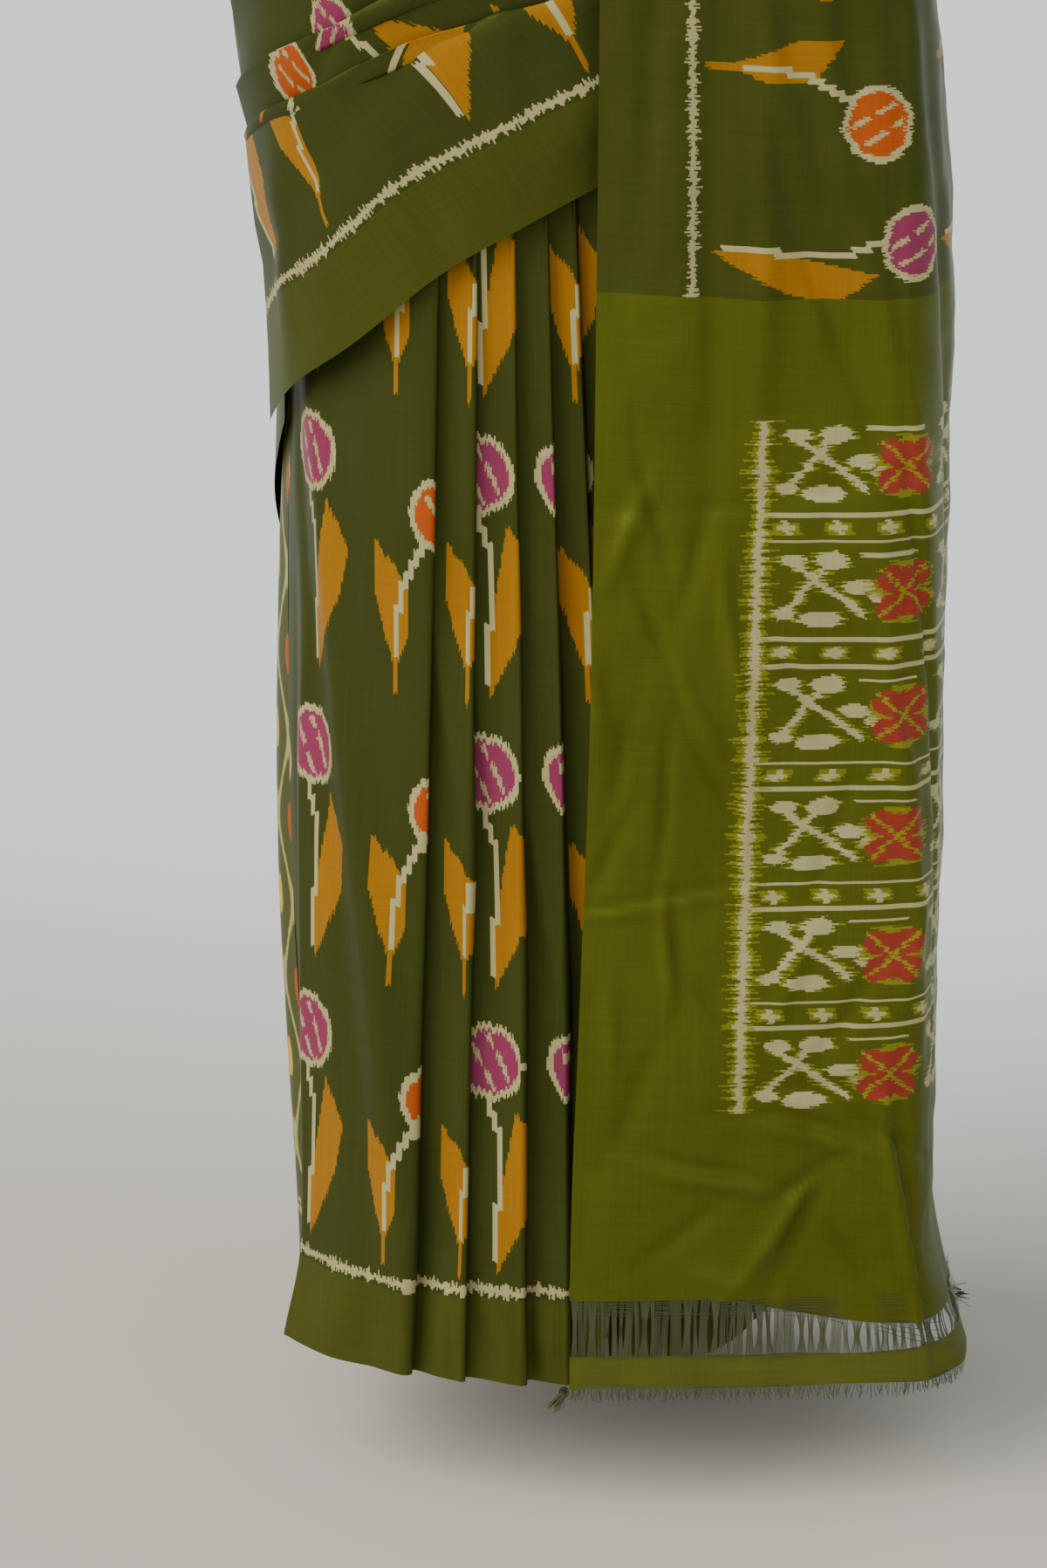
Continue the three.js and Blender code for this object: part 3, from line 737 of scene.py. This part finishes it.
def pleat_line(z):
    """One level of the front pleats: angles, distances off the figure, and places along the cloth."""
    fold = {key: through(SIDE_FOLD["z"], SIDE_FOLD[key], z) for key in SIDE_FOLD if key != "z"}
    top = stack_out(z)
    step = through(PLEAT_LEVELS, PLEAT_STEP, z)
    depth = through(PLEAT_LEVELS, PLEAT_DEPTH, z)
    edges = [through(PLEAT_LEVELS, edge, z) for edge in PLEAT_EDGES]
    places = [through(PLEAT_LEVELS, place, z) for place in PLEAT_CLOTH]
    side = through(FIGURE["z"], FIGURE["side"], z)

    def turn(x):
        return math.degrees(math.asin(x / (side + top)))

    def panel_out(angle):
        return mix(fold["ridge_out"], top, ease((angle - fold["ridge"]) / (turn(edges[0]) - fold["ridge"])))

    line = []
    left = [
        (fold["seam"], 2.2),
        (mix(fold["seam"], fold["valley"], 0.5), mix(2.2, fold["valley_out"], 0.4)),
        (fold["valley"], fold["valley_out"]),
        (mix(fold["valley"], fold["ridge"], 0.5), mix(fold["valley_out"], fold["ridge_out"], 0.6)),
        (fold["ridge"] - 1, fold["ridge_out"] - 0.4),
        (fold["ridge"] + 1.5, fold["ridge_out"]),
    ]
    marks = list(range(len(left)))
    left_angles, left_outs = zip(*left)
    for t in steps(0, len(left) - 1, 22):
        line.append((through(marks, left_angles, t), through(marks, left_outs, t), None))
    for share in steps(0.1, 0.96, 18):
        angle = mix(fold["ridge"], turn(edges[0]), share)
        line.append((angle, panel_out(angle), None))
    start_of_pleats = len(line)

    def put(x, layer, s, dip=0):
        angle = turn(x)
        line.append((angle, panel_out(angle) - layer_depth(layer, edges, step, x) - dip, s))

    for k, edge in enumerate(edges):
        s = places[k]
        back = edge - depth
        tip = edge - 0.4 * step
        for turned in steps(0, 180, 6):
            x = tip + 0.75 * step * math.sin(math.radians(turned))
            rise = (1 - math.cos(math.radians(turned))) / 2
            line.append((turn(x), panel_out(turn(x)) - rise * step, s + rise * step))
        for share in steps(0.2, 1, 5):
            x = mix(tip, back, share)
            put(x, 2 * k + 1, s + edge - x)
        put(back - 0.5 * step, 2 * k + 1.5, s + depth + 2)
        if k + 1 < len(edges):
            ahead = edges[k + 1]
            s_ahead = places[k + 1]
            for x in steps(back, edge, 5):
                put(x, 2 * k + 2, s_ahead - (ahead - x))
            for share in steps(0, 0.93, 10)[1:]:
                x = mix(edge, ahead, share)
                hollow = 0.6 * step * math.sin(math.pi * share**0.7)
                put(x, 2 * k + 2, s_ahead - (ahead - x), hollow)
        else:
            for x in steps(back, edge - depth * 0.1, 4):
                put(x, 2 * k + 2, s + 2 * depth + x - back)
    last_angle, last_out, _ = line[-1]
    for share in steps(0.08, 1, 16):
        angle = mix(last_angle, PLEATS_END - 0.4, share)
        line.append((angle, mix(last_out, WRAP_OUT, share), None))
    return line, start_of_pleats, places


def front_pleats(material):
    rows, uvs = [], []
    for z in steps(TUCK, HEM, 120):
        line, start, places = pleat_line(z)
        points = [on_figure(angle, z, out) for angle, out, _ in line]
        run = arc_lengths(points)
        values = []
        for place, (_, _, s) in enumerate(line):
            if place < start:
                s = places[0] - (run[start] - run[place])
            elif s is None:
                s = places[-1] + 110 + run[place] - run[start]
            values.append((s, z - HEM))
        rows.append(points)
        uvs.append(values)

    def soft(i, j):
        p = rows[i][j]
        falling = ease((-330 - p.z) / 200)
        s, v = uvs[i][j]
        return falling * (1.6 * ripple(p.x, p.z * 0.16, 26, 1.7) + crease(SKIRT_CREASES, s, v))

    rows = push(rows, soft)
    cloth("front_pleats_silk", rows, uvs, material, "front_pleats")


def second_wrap(material):
    rows, uvs = [], []
    angles = steps(PLEATS_END, 360 + SIDE_SEAM - 0.4, 100)
    low_line = [on_figure(a, through(WRAP_EDGES["angle"], WRAP_EDGES["low"], a), WRAP_OUT) for a in angles]
    run = arc_lengths(low_line)
    for share in steps(0, 1, 80):
        line, values = [], []
        for place, angle in enumerate(angles):
            top = through(WRAP_EDGES["angle"], WRAP_EDGES["top"], angle)
            low = through(WRAP_EDGES["angle"], WRAP_EDGES["low"], angle)
            z = mix(top, low, share)
            wave = 2.5 * math.sin(math.radians((angle - PLEATS_END) * 6)) * ease((-300 - z) / 400)
            line.append(on_figure(angle, z, WRAP_OUT + max(0, wave)))
            a, b = low_line[max(0, place - 1)], low_line[min(len(angles) - 1, place + 1)]
            climb = (b - a).normalized().z
            height = z - low
            values.append((1000 + run[place] + height * climb, height * math.sqrt(1 - climb * climb)))
        rows.append(line)
        uvs.append(values)
    rows = push(rows, lambda i, j: 0.8 * ripple(rows[i][j].y, rows[i][j].z * 0.3, 60, 4.2))
    cloth("second_wrap_silk", rows, uvs, material, "second_wrap")


def drape_line(station, width):
    """One line across the drape: shares of the way up, and how far each point stands out."""
    half = station < 0.5
    t = ease(station * 2 if half else station * 2 - 1)

    def pick(row):
        return mix(row[0], row[1], t) if half else mix(row[1], row[2], t)

    edges = [pick(row) for row in DRAPE_PLEATS]
    depth = min(pick(DRAPE_DEPTH) / width, 0.8 * edges[0])
    nudge = 0.5 * DRAPE_STEP / width
    line = [(0, DRAPE_TOP)]

    def put(share, layer):
        line.append((share, DRAPE_TOP - layer_depth(layer, edges, DRAPE_STEP, share)))

    for k, edge in enumerate(edges):
        back = edge - depth
        before = edges[k - 1] if k else 0
        for share in steps(before, back, 7)[1:]:
            put(share, 2 * k)
        put(mix(back, edge, 0.5), 2 * k)
        for turned in steps(0, 180, 4):
            rise = (1 - math.cos(math.radians(turned))) / 2
            share = edge - nudge + 2 * nudge * math.sin(math.radians(turned))
            line.append((share, DRAPE_TOP - rise * DRAPE_STEP))
        put(mix(edge, back, 0.5), 2 * k + 1)
        put(back, 2 * k + 1)
        put(back - 1.4 * nudge, 2 * k + 1.5)
        put(back, 2 * k + 2)
        put(mix(back, edge, 0.5), 2 * k + 2)
        put(edge, 2 * k + 2)
    for share in steps(edges[-1], 1, 5)[1:]:
        line.append((share, DRAPE_TOP - DRAPE_STEP))
    return line


# Creases are troughs, or ridges where the depth is below 0. Each has its place along and across the cloth,
# its length, width and depth, all in mm, and the degrees it is turned from the cloth's length.
# On the skirt, the second place is the height above the hem.
SKIRT_CREASES = [
    (10, 330, 820, 8, 2.6, 90),
    (37, 320, 900, 12, -5.5, 90),
    (30, 22, 60, 14, -3.4, 80),
    (214, 24, 60, 10, -3.0, 75),
    (326, 30, 70, 10, -3.0, 100),
    (460, 26, 60, 9, -3.0, 84),
    (209, 420, 440, 8, -2.2, 91),
    (322, 380, 480, 8, -2.2, 89),
    (460, 300, 440, 8, -2.2, 90),
]
# On the drape, the places start at the right hip and at the lower selvage
DRAPE_CREASES = [
    (150, 95, 260, 8, 4.0, 4),
    (330, 40, 200, 11, -3.6, -3),
    (250, 175, 300, 8, 4.0, 5),
    (120, 210, 220, 7, 3.6, 9),
    (420, 120, 240, 10, 3.4, -4),
    (210, 60, 120, 9, 3.8, 62),
    (90, 70, 110, 9, -3.4, 50),
    (160, 40, 110, 9, 3.2, 74),
    (270, 90, 120, 9, -2.8, 58),
    (300, 260, 260, 9, 3.2, 6),
    (200, 330, 260, 10, 3.0, 3),
    (430, 380, 220, 9, 2.8, -5),
]
# On the loose end, the first place is across it and the second is up from its end
FALL_CREASES = [
    (40, 292, 170, 2.6, 2.0, 1),
    (44, 287, 180, 2.6, -1.9, 1),
    (150, 528, 300, 4, 1.6, -1),
    (36, 514, 70, 4, 3.5, 100),
    (23, 500, 60, 6, -4.1, 60),
    (62, 486, 56, 5, 3.0, 70),
    (43, 440, 66, 4, 3.5, 107),
    (8, 406, 50, 6, -4.1, 90),
    (24, 372, 60, 5, 3.0, 74),
    (50, 350, 76, 4, 3.8, 81),
    (66, 402, 60, 5, -3.0, 112),
    (85, 440, 100, 5, -4.1, 92),
    (80, 360, 60, 4, 3.2, 115),
    (97, 330, 50, 4, -3.0, 80),
    (20, 318, 50, 5, 2.7, 60),
    (54, 262, 60, 4, -3.5, 88),
    (61, 262, 54, 4, 3.0, 90),
    (86, 225, 50, 4, 3.2, 120),
    (25, 215, 60, 5, -2.7, 85),
    (40, 176, 70, 6, 2.4, 64),
    (70, 95, 70, 5, 2.4, 30),
    (82, 125, 80, 4, -3.8, 161),
    (86, 132, 70, 4, 3.0, 158),
    (105, 163, 50, 4, 3.2, 165),
    (138, 152, 80, 4, -3.5, 155),
    (142, 160, 70, 4, 3.0, 152),
    (140, 126, 60, 4, 3.8, 25),
    (123, 93, 86, 4, -4.3, 47),
    (134, 90, 76, 4.5, 4.3, 58),
    (150, 181, 80, 4, 3.0, 170),
    (170, 76, 60, 5, 3.2, 120),
    (176, 128, 60, 5, -3.5, 130),
    (188, 150, 60, 4, 3.8, 140),
    (196, 100, 150, 4, -5.4, 92),
    (203, 104, 150, 4, 4.1, 91),
    (96, 62, 60, 5, -2.7, 150),
    (200, 250, 70, 5, -3.2, 70),
    (166, 230, 70, 5, 3.0, 50),
    (130, 250, 60, 5, -2.7, 60),
    (150, 330, 70, 5, 2.7, 66),
    (184, 390, 80, 5, -3.0, 104),
    (124, 420, 70, 5, 2.4, 112),
    (207, 430, 420, 3.4, 3.5, 91),
    (192, 350, 300, 7, -3.2, 90),
    (66, 640, 220, 9, 3.8, 84),
    (98, 660, 260, 9, -3.5, 80),
    (140, 620, 230, 8, 3.5, 104),
    (176, 600, 230, 8, -3.0, 98),
    (30, 740, 160, 8, 3.0, 78),
    (90, 800, 200, 8, -3.0, 100),
    (150, 760, 180, 8, 3.2, 84),
    (60, 900, 330, 14, 4.9, 88),
    (120, 880, 300, 14, -4.9, 92),
    (170, 900, 320, 12, 4.9, 88),
    (236, 620, 420, 12, 4.9, 90),
]


def crease(table, s, v):
    """How far the laid creases press the cloth in at a place on it."""
    pressed = 0
    for centre_s, centre_v, length, width, depth, turned in table:
        c, d = math.cos(math.radians(turned)), math.sin(math.radians(turned))
        along = (s - centre_s) * c + (v - centre_v) * d
        across = -(s - centre_s) * d + (v - centre_v) * c
        bend = 0.06 * length * math.sin(along / length * 3.1)
        fade = math.exp(-((2 * along / length) ** 2))
        pressed += depth * fade * math.exp(-(((across - bend) / width) ** 2))
    return pressed


def front_drape(material):
    last = len(DRAPE_LOW_ANGLE) - 1
    stations = list(range(last + 1))

    def at(table, s):
        return through(stations, table, s)

    columns = []
    low_line = []
    for s in steps(0, last, 84):
        low = figure_point(at(DRAPE_LOW_ANGLE, s), at(DRAPE_LOW_Z, s))
        high = figure_point(at(DRAPE_HIGH_ANGLE, s), at(DRAPE_HIGH_Z, s))
        column = []
        for share, out in drape_line(s / (last + 1), (high - low).length):
            angle = mix(at(DRAPE_LOW_ANGLE, s), at(DRAPE_HIGH_ANGLE, s), share)
            z = mix(at(DRAPE_LOW_Z, s), at(DRAPE_HIGH_Z, s), share)
            under = mix(max(stack_at(angle, z), WRAP_OUT), 3, ease((z - 25) / 120))
            column.append(on_figure(angle, z, under + DRAPE_CLEAR + out))
        columns.append(column)
        low_line.append(column[0])
    shoulder = DRAPE_SHOULDER
    end = []
    for share, out in drape_line(1, shoulder["width"]):
        depth = DRAPE_UNDER + 1.5 * (DRAPE_TOP - out)
        end.append(under_fall(mix(shoulder["from"], shoulder["to"], share), shoulder["z"], depth))
    before = columns[-1]
    for share in steps(0, 1, 8)[1:]:
        columns.append([a.lerp(b, share) for a, b in zip(before, end)])
        low_line.append(columns[-1][0])
    run = arc_lengths(low_line)
    uv_columns = []
    for place, column in enumerate(columns):
        a, b = low_line[max(0, place - 3)], low_line[min(len(columns) - 1, place + 3)]
        lengths = arc_lengths(column)
        across = (column[12] - column[0]).normalized()
        lean = (b - a).normalized().dot(across)
        height = math.sqrt(max(0.05, 1 - lean * lean))
        foot = DRAPE_PHASE + run[place]
        uv_columns.append([(foot + t * lean, NEAR_SELVAGE * t * height) for t in lengths])
    rows = [[column[i] for column in columns] for i in reversed(range(len(columns[0])))]
    uvs = [[column[i] for column in uv_columns] for i in reversed(range(len(columns[0])))]

    def soft(i, j):
        s, v = uvs[i][j]
        return crease(DRAPE_CREASES, s - DRAPE_PHASE, v) + 1.4 * ripple(s * 0.4, v, 42, 9.1)

    rows = push(rows, soft)
    cloth("front_drape_silk", rows, uvs, material, "front_drape")


def fall_end(share):
    return through(FALL_END["share"], FALL_END["z"], share)


def open_height(share):
    """Height of the unwoven stretch, which the cloth above droops over at the wearer's left."""
    droop = ease((share - 0.07) / 0.12) * ease((0.5 - share) / 0.1)
    return OPEN_HEIGHT * mix(1, 0.42, droop)


def fall_point(share, z):
    """A point of the loose end: on its laid-out line at that height, with flutes in the open part."""
    heights = [row[0] for row in FALL]
    x, y = (
        through(FALL_SHARES, [through(heights, places, z) for places in zip(*table)], share)
        for table in ([row[1] for row in FALL], [row[2] for row in FALL])
    )
    opened = ease((share - FLUTES["from"]) / 0.08)
    grown = ease((380 - z) / 900)
    swing = opened * mix(FLUTES["top"], FLUTES["bottom"], grown) * ease((395 - z) / 80)
    wave = math.sin((share - FLUTES["from"]) / (1 - FLUTES["from"]) * FLUTES["count"] * 2 * math.pi)
    out = Vector((x - 95, y)).normalized()
    amount = swing * (wave * 0.5 + mix(0.5, 0.32, grown))
    return Vector((x + out.x * amount, y + out.y * amount, z))


def under_fall(share, z, depth):
    """A point inside the loose end, at a depth below it."""
    around = fall_point(share + 0.01, z) - fall_point(share - 0.01, z)
    rise = fall_point(share, z + 2) - fall_point(share, z - 2)
    return fall_point(share, z) - around.cross(rise).normalized() * depth


FALL_COLUMNS = steps(0, FRONT_SHARE, FRONT_COLUMNS) + steps(FRONT_SHARE + 0.005, 1, BACK_COLUMNS)


def fall_grid(levels):
    """Rows of the loose end, from a function of share for each level, with cloth coordinates."""
    rows = [[fall_point(share, level(share)) for share in FALL_COLUMNS] for level in levels]
    widths = arc_lengths([fall_point(share, -620) for share in FALL_COLUMNS])
    turn = widths[FRONT_COLUMNS]
    spread = (CLOTH_WIDTH - turn) / (widths[-1] - turn)
    across = [width if width <= turn else turn + (width - turn) * spread for width in widths]
    uvs = []
    for row in rows:
        lean = 7 * ease((-300 - row[0].z) / 500)
        places = zip(row, FALL_COLUMNS, across)
        uvs.append([(p.z - fall_end(share), v * NEAR_SELVAGE + lean) for p, share, v in places])

    def soft(i, j):
        s, v = uvs[i][j]
        p = rows[i][j]
        near_shoulder = ease((p.z - 120) / 200) * ease((402 - p.z) / 30)
        gathers = 2.6 * near_shoulder * math.sin(v / 1150 * 2 * math.pi * 15)
        lower = ease((60 - p.z) / 200)
        crumple = 1.3 * ripple(v + 0.3 * s, s, 64, 2.6) + ripple(v, s * 0.8, 25, 8.8)
        crumple += 0.35 * ripple(v + 0.2 * s, s * 0.9, 13, 4.1)
        return crease(FALL_CREASES, v, s) + gathers + (0.4 + 0.8 * lower) * crumple

    return push(rows, soft), uvs


def loose_end(material):
    def level(share_down):
        return lambda share: mix(FALL_TOP, fall_end(share) + BAND_HEIGHT + open_height(share), share_down)

    downs = steps(0, 0.08, 20) + steps(0.09, 0.5, 80) + steps(0.503, 1, 190)
    rows, uvs = fall_grid([level(t) for t in downs])
    cloth("pallu_silk", rows, uvs, material, "pallu_fall")


def end_band(material):
    def level(height):
        return lambda share: fall_end(share) + height + 1.3 * ripple(share * 30, height, 1, 5)

    rows, uvs = fall_grid([level(h) for h in steps(BAND_HEIGHT, 0, 6)])
    cloth("pallu_band_silk", rows, uvs, material, "pallu_end_band")


def strands(name, lines, width, material, node):
    """Fine threads as narrow ribbons through their points, in millimetres."""
    vertices, faces = [], []
    for points, side in lines:
        start = len(vertices)
        for p in points:
            vertices.append((p - side * width / 2) / 1000)
            vertices.append((p + side * width / 2) / 1000)
        for k in range(len(points) - 1):
            a = start + 2 * k
            faces.append((a, a + 1, a + 3, a + 2))
    mesh = bpy.data.meshes.new(name)
    mesh.from_pydata(vertices, [], faces)
    mesh.materials.append(material)
    piece = bpy.data.objects.new(name, mesh)
    bpy.context.scene.collection.objects.link(piece)
    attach(piece, "root")
    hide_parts(node)


def along_end(share, height):
    """A point of the loose end near its edge, and the direction of the edge there."""
    z = fall_end(share) + height
    p = fall_point(share, z)
    q = fall_point(min(1, share + 0.002), z)
    back = fall_point(max(0, share - 0.002), z)
    return p, (q - back).normalized()


def bare_warps(material):
    """The unwoven stretch: warps drawn together in uneven groups, and a few slack wefts at its top."""
    lines = []
    share = 0.0008
    group_end = 0
    while share < 0.9985:
        if share >= group_end:
            group_start, group_end = share, share + rng.uniform(0.0014, 0.0062)
            pull = rng.uniform(0.1, 0.7)
            slack = rng.uniform(-3, 3)
            slant = rng.uniform(-0.002, 0.002)
        middle = mix(share, (group_start + group_end) / 2, pull)
        points = []
        for t in steps(0, 1, 6):
            swell = math.sin(math.pi * t)
            place = clamp(mix(share, middle, swell) + slant * (t - 0.5))
            p, side = along_end(place, BAND_HEIGHT - 1 + (open_height(share) + 2) * (1 - t))
            points.append(p + Vector((side.y, -side.x, 0)) * (swell * slack))
        lines.append((points, along_end(share, BAND_HEIGHT)[1]))
        share += rng.uniform(0.0004, 0.0007)
    for row in range(9):
        height = BAND_HEIGHT + 0.97 * OPEN_HEIGHT - 1.1 * row - rng.uniform(0, 0.5)
        for start in steps(0, 0.16, 4):
            reach = start + rng.uniform(0.02, 0.045)
            points = []
            for place in steps(max(0.001, start), reach, 10):
                sag = 0.8 * noise.noise(Vector((place * 90, row * 3.1, 1)))
                points.append(along_end(place, height + sag - 4 * row * ease((place - 0.12) / 0.1))[0])
            lines.append((points, Vector((0, 0, 1))))
    strands("bare_warp_threads", lines, 0.4, material, "open_warps")


def fringe(material):
    lines = []
    share = 0.001
    while share < 0.999:
        p, side = along_end(share, 0.5)
        length = rng.uniform(4.5, FRINGE + 1)
        lean = rng.uniform(-2.6, 2.6)
        out = Vector((side.y, -side.x, 0)) * rng.uniform(-0.6, 1.4)
        end = p + side * lean + out + Vector((0, 0, -length))
        middle = p.lerp(end, 0.5) + side * rng.uniform(-0.7, 0.7)
        lines.append(([p, middle, end], side))
        share += rng.uniform(0.0004, 0.0011)
    for _ in range(26):
        p, side = along_end(0.285 + rng.uniform(-0.004, 0.004), rng.uniform(8, 14))
        out = Vector((side.y, -side.x, 0))
        end = p + out * rng.uniform(4, 9) + Vector((0, rng.uniform(-2, 3), rng.uniform(-5, 2)))
        lines.append(([p, p.lerp(end, 0.5) + Vector((0, 0, 0.8)), end], Vector((0, 0, 1))))
    strands("end_fringe_threads", lines, 0.42, material, "end_fringe")


def tassel(name, share, node, material):
    """A corner knot with its loose ends."""
    p, side = along_end(share, 0)
    away = side * (1 if share > 0.5 else -1)
    root = p + away * 3.2 + Vector((0, 0, -1.6))
    lines = []
    for k in range(90):
        turn = rng.uniform(0, 2 * math.pi)
        spread = rng.uniform(0, 5.5)
        around = Vector((math.cos(turn), math.sin(turn), 0))
        top = root + around * rng.uniform(0, 2.6) + Vector((0, 0, rng.uniform(-1, 2.4)))
        middle = root + around * (spread * 0.6) + away * 2 + Vector((0, 0, rng.uniform(-4.5, -2.5)))
        end = root + around * spread + away * rng.uniform(2, 9) + Vector((0, 0, rng.uniform(-11, -5)))
        lines.append(([top, middle, end], Vector((-around.y, around.x, 0))))
    for k in range(60):
        turn = rng.uniform(0, 2 * math.pi)
        tilt = rng.uniform(-1.2, 1.2)
        ring = []
        for t in steps(0, 1.5, 4):
            level = Vector((math.cos(turn + t), math.sin(turn + t), math.tan(tilt)))
            ring.append(root + level.normalized() * 3.1)
        lines.append((ring, Vector((0, 0, 1))))
    strands(name, lines, 0.5, material, node)


# Surroundings


def studio():
    """A pale floor with painted light: its colour turns lighter and cooler away from the camera and to the
    right, standing in for a brightly lit backdrop. Soft light from above and the front left.
    """
    mesh = bpy.data.meshes.new("studio_floor")
    far = FLOOR_REACH
    z = FLOOR / 1000
    mesh.from_pydata([(-far, -far, z), (far, -far, z), (far, far, z), (-far, far, z)], [], [(0, 1, 2, 3)])
    floor = bpy.data.objects.new("studio_floor", mesh)
    bpy.context.scene.collection.objects.link(floor)
    material = bpy.data.materials.new("studio_floor")
    material.use_nodes = True
    tree = material.node_tree
    shader = tree.nodes["Principled BSDF"]
    shader.inputs["Roughness"].default_value = 0.9
    shader.inputs["Specular IOR Level"].default_value = 0.1
    # Painted light: the floor's colour blends from the near colour to a lighter, cooler far colour away
    # from the camera and to the right.
    place = tree.nodes.new("ShaderNodeTexCoord")
    depth = tree.nodes.new("ShaderNodeVectorMath")
    depth.operation = "DOT_PRODUCT"
    depth.inputs[1].default_value = (0.35, 1, 0)
    tree.links.new(place.outputs["Object"], depth.inputs[0])
    ramp = tree.nodes.new("ShaderNodeMapRange")
    ramp.interpolation_type = "SMOOTHSTEP"
    ramp.inputs["From Min"].default_value = 0.1
    ramp.inputs["From Max"].default_value = 1.3
    tree.links.new(depth.outputs["Value"], ramp.inputs["Value"])
    blend = tree.nodes.new("ShaderNodeMix")
    blend.data_type = "RGBA"
    blend.inputs[6].default_value = linear(FLOOR_NEAR)
    blend.inputs[7].default_value = linear(FLOOR_FAR_PAINTED_LIGHT)
    tree.links.new(ramp.outputs[0], blend.inputs[0])
    tree.links.new(blend.outputs[2], shader.inputs["Base Color"])
    mesh.materials.append(material)

    world = bpy.data.worlds.new("studio")
    bpy.context.scene.world = world
    world.use_nodes = True
    background = world.node_tree.nodes["Background"]
    background.inputs[0].default_value = linear(SKY)
    background.inputs[1].default_value = SKY_POWER
    sun = bpy.data.lights.new("key", "SUN")
    sun.energy = SUN_POWER
    sun.angle = math.radians(SUN_SPREAD)
    sun.color = linear(SUN_COLOUR)[:3]
    key = bpy.data.objects.new("key", sun)
    key.rotation_euler = Vector(SUN_DIRECTION).to_track_quat("-Z", "Y").to_euler()
    bpy.context.scene.collection.objects.link(key)
    for name, location, size, power, rgb in LAMPS:
        light = bpy.data.lights.new(name, "AREA")
        light.size = size
        light.energy = power
        light.color = linear(rgb)[:3]
        lamp = bpy.data.objects.new(name, light)
        lamp.location = location
        aim = Vector((0, 0, -0.4)) - Vector(location)
        lamp.rotation_euler = aim.to_track_quat("-Z", "Y").to_euler()
        bpy.context.scene.collection.objects.link(lamp)


def camera():
    """The photograph's view: 3 m away, a little above the waist, looking down."""
    lens = bpy.data.cameras.new("camera")
    lens.lens = LENS
    lens.sensor_width = 36
    eye = bpy.data.objects.new("camera", lens)
    eye.location = EYE
    eye.rotation_euler = (math.radians(90 - LOOK_DOWN), 0, 0)
    bpy.context.scene.collection.objects.link(eye)
    bpy.context.scene.camera = eye


camera()
studio()
flower = flower_silk()
threads = thread_silk()
first_wrap(net_silk())
front_pleats(flower)
second_wrap(flower)
front_drape(flower)
loose_end(pallu_silk())
end_band(plain_silk("band_silk", GREEN_BAND))
bare_warps(threads)
fringe(threads)
tassel("corner_tassel_front_threads", 0, "corner_tassel_front", threads)
tassel("corner_tassel_back_threads", 1, "corner_tassel_back", threads)
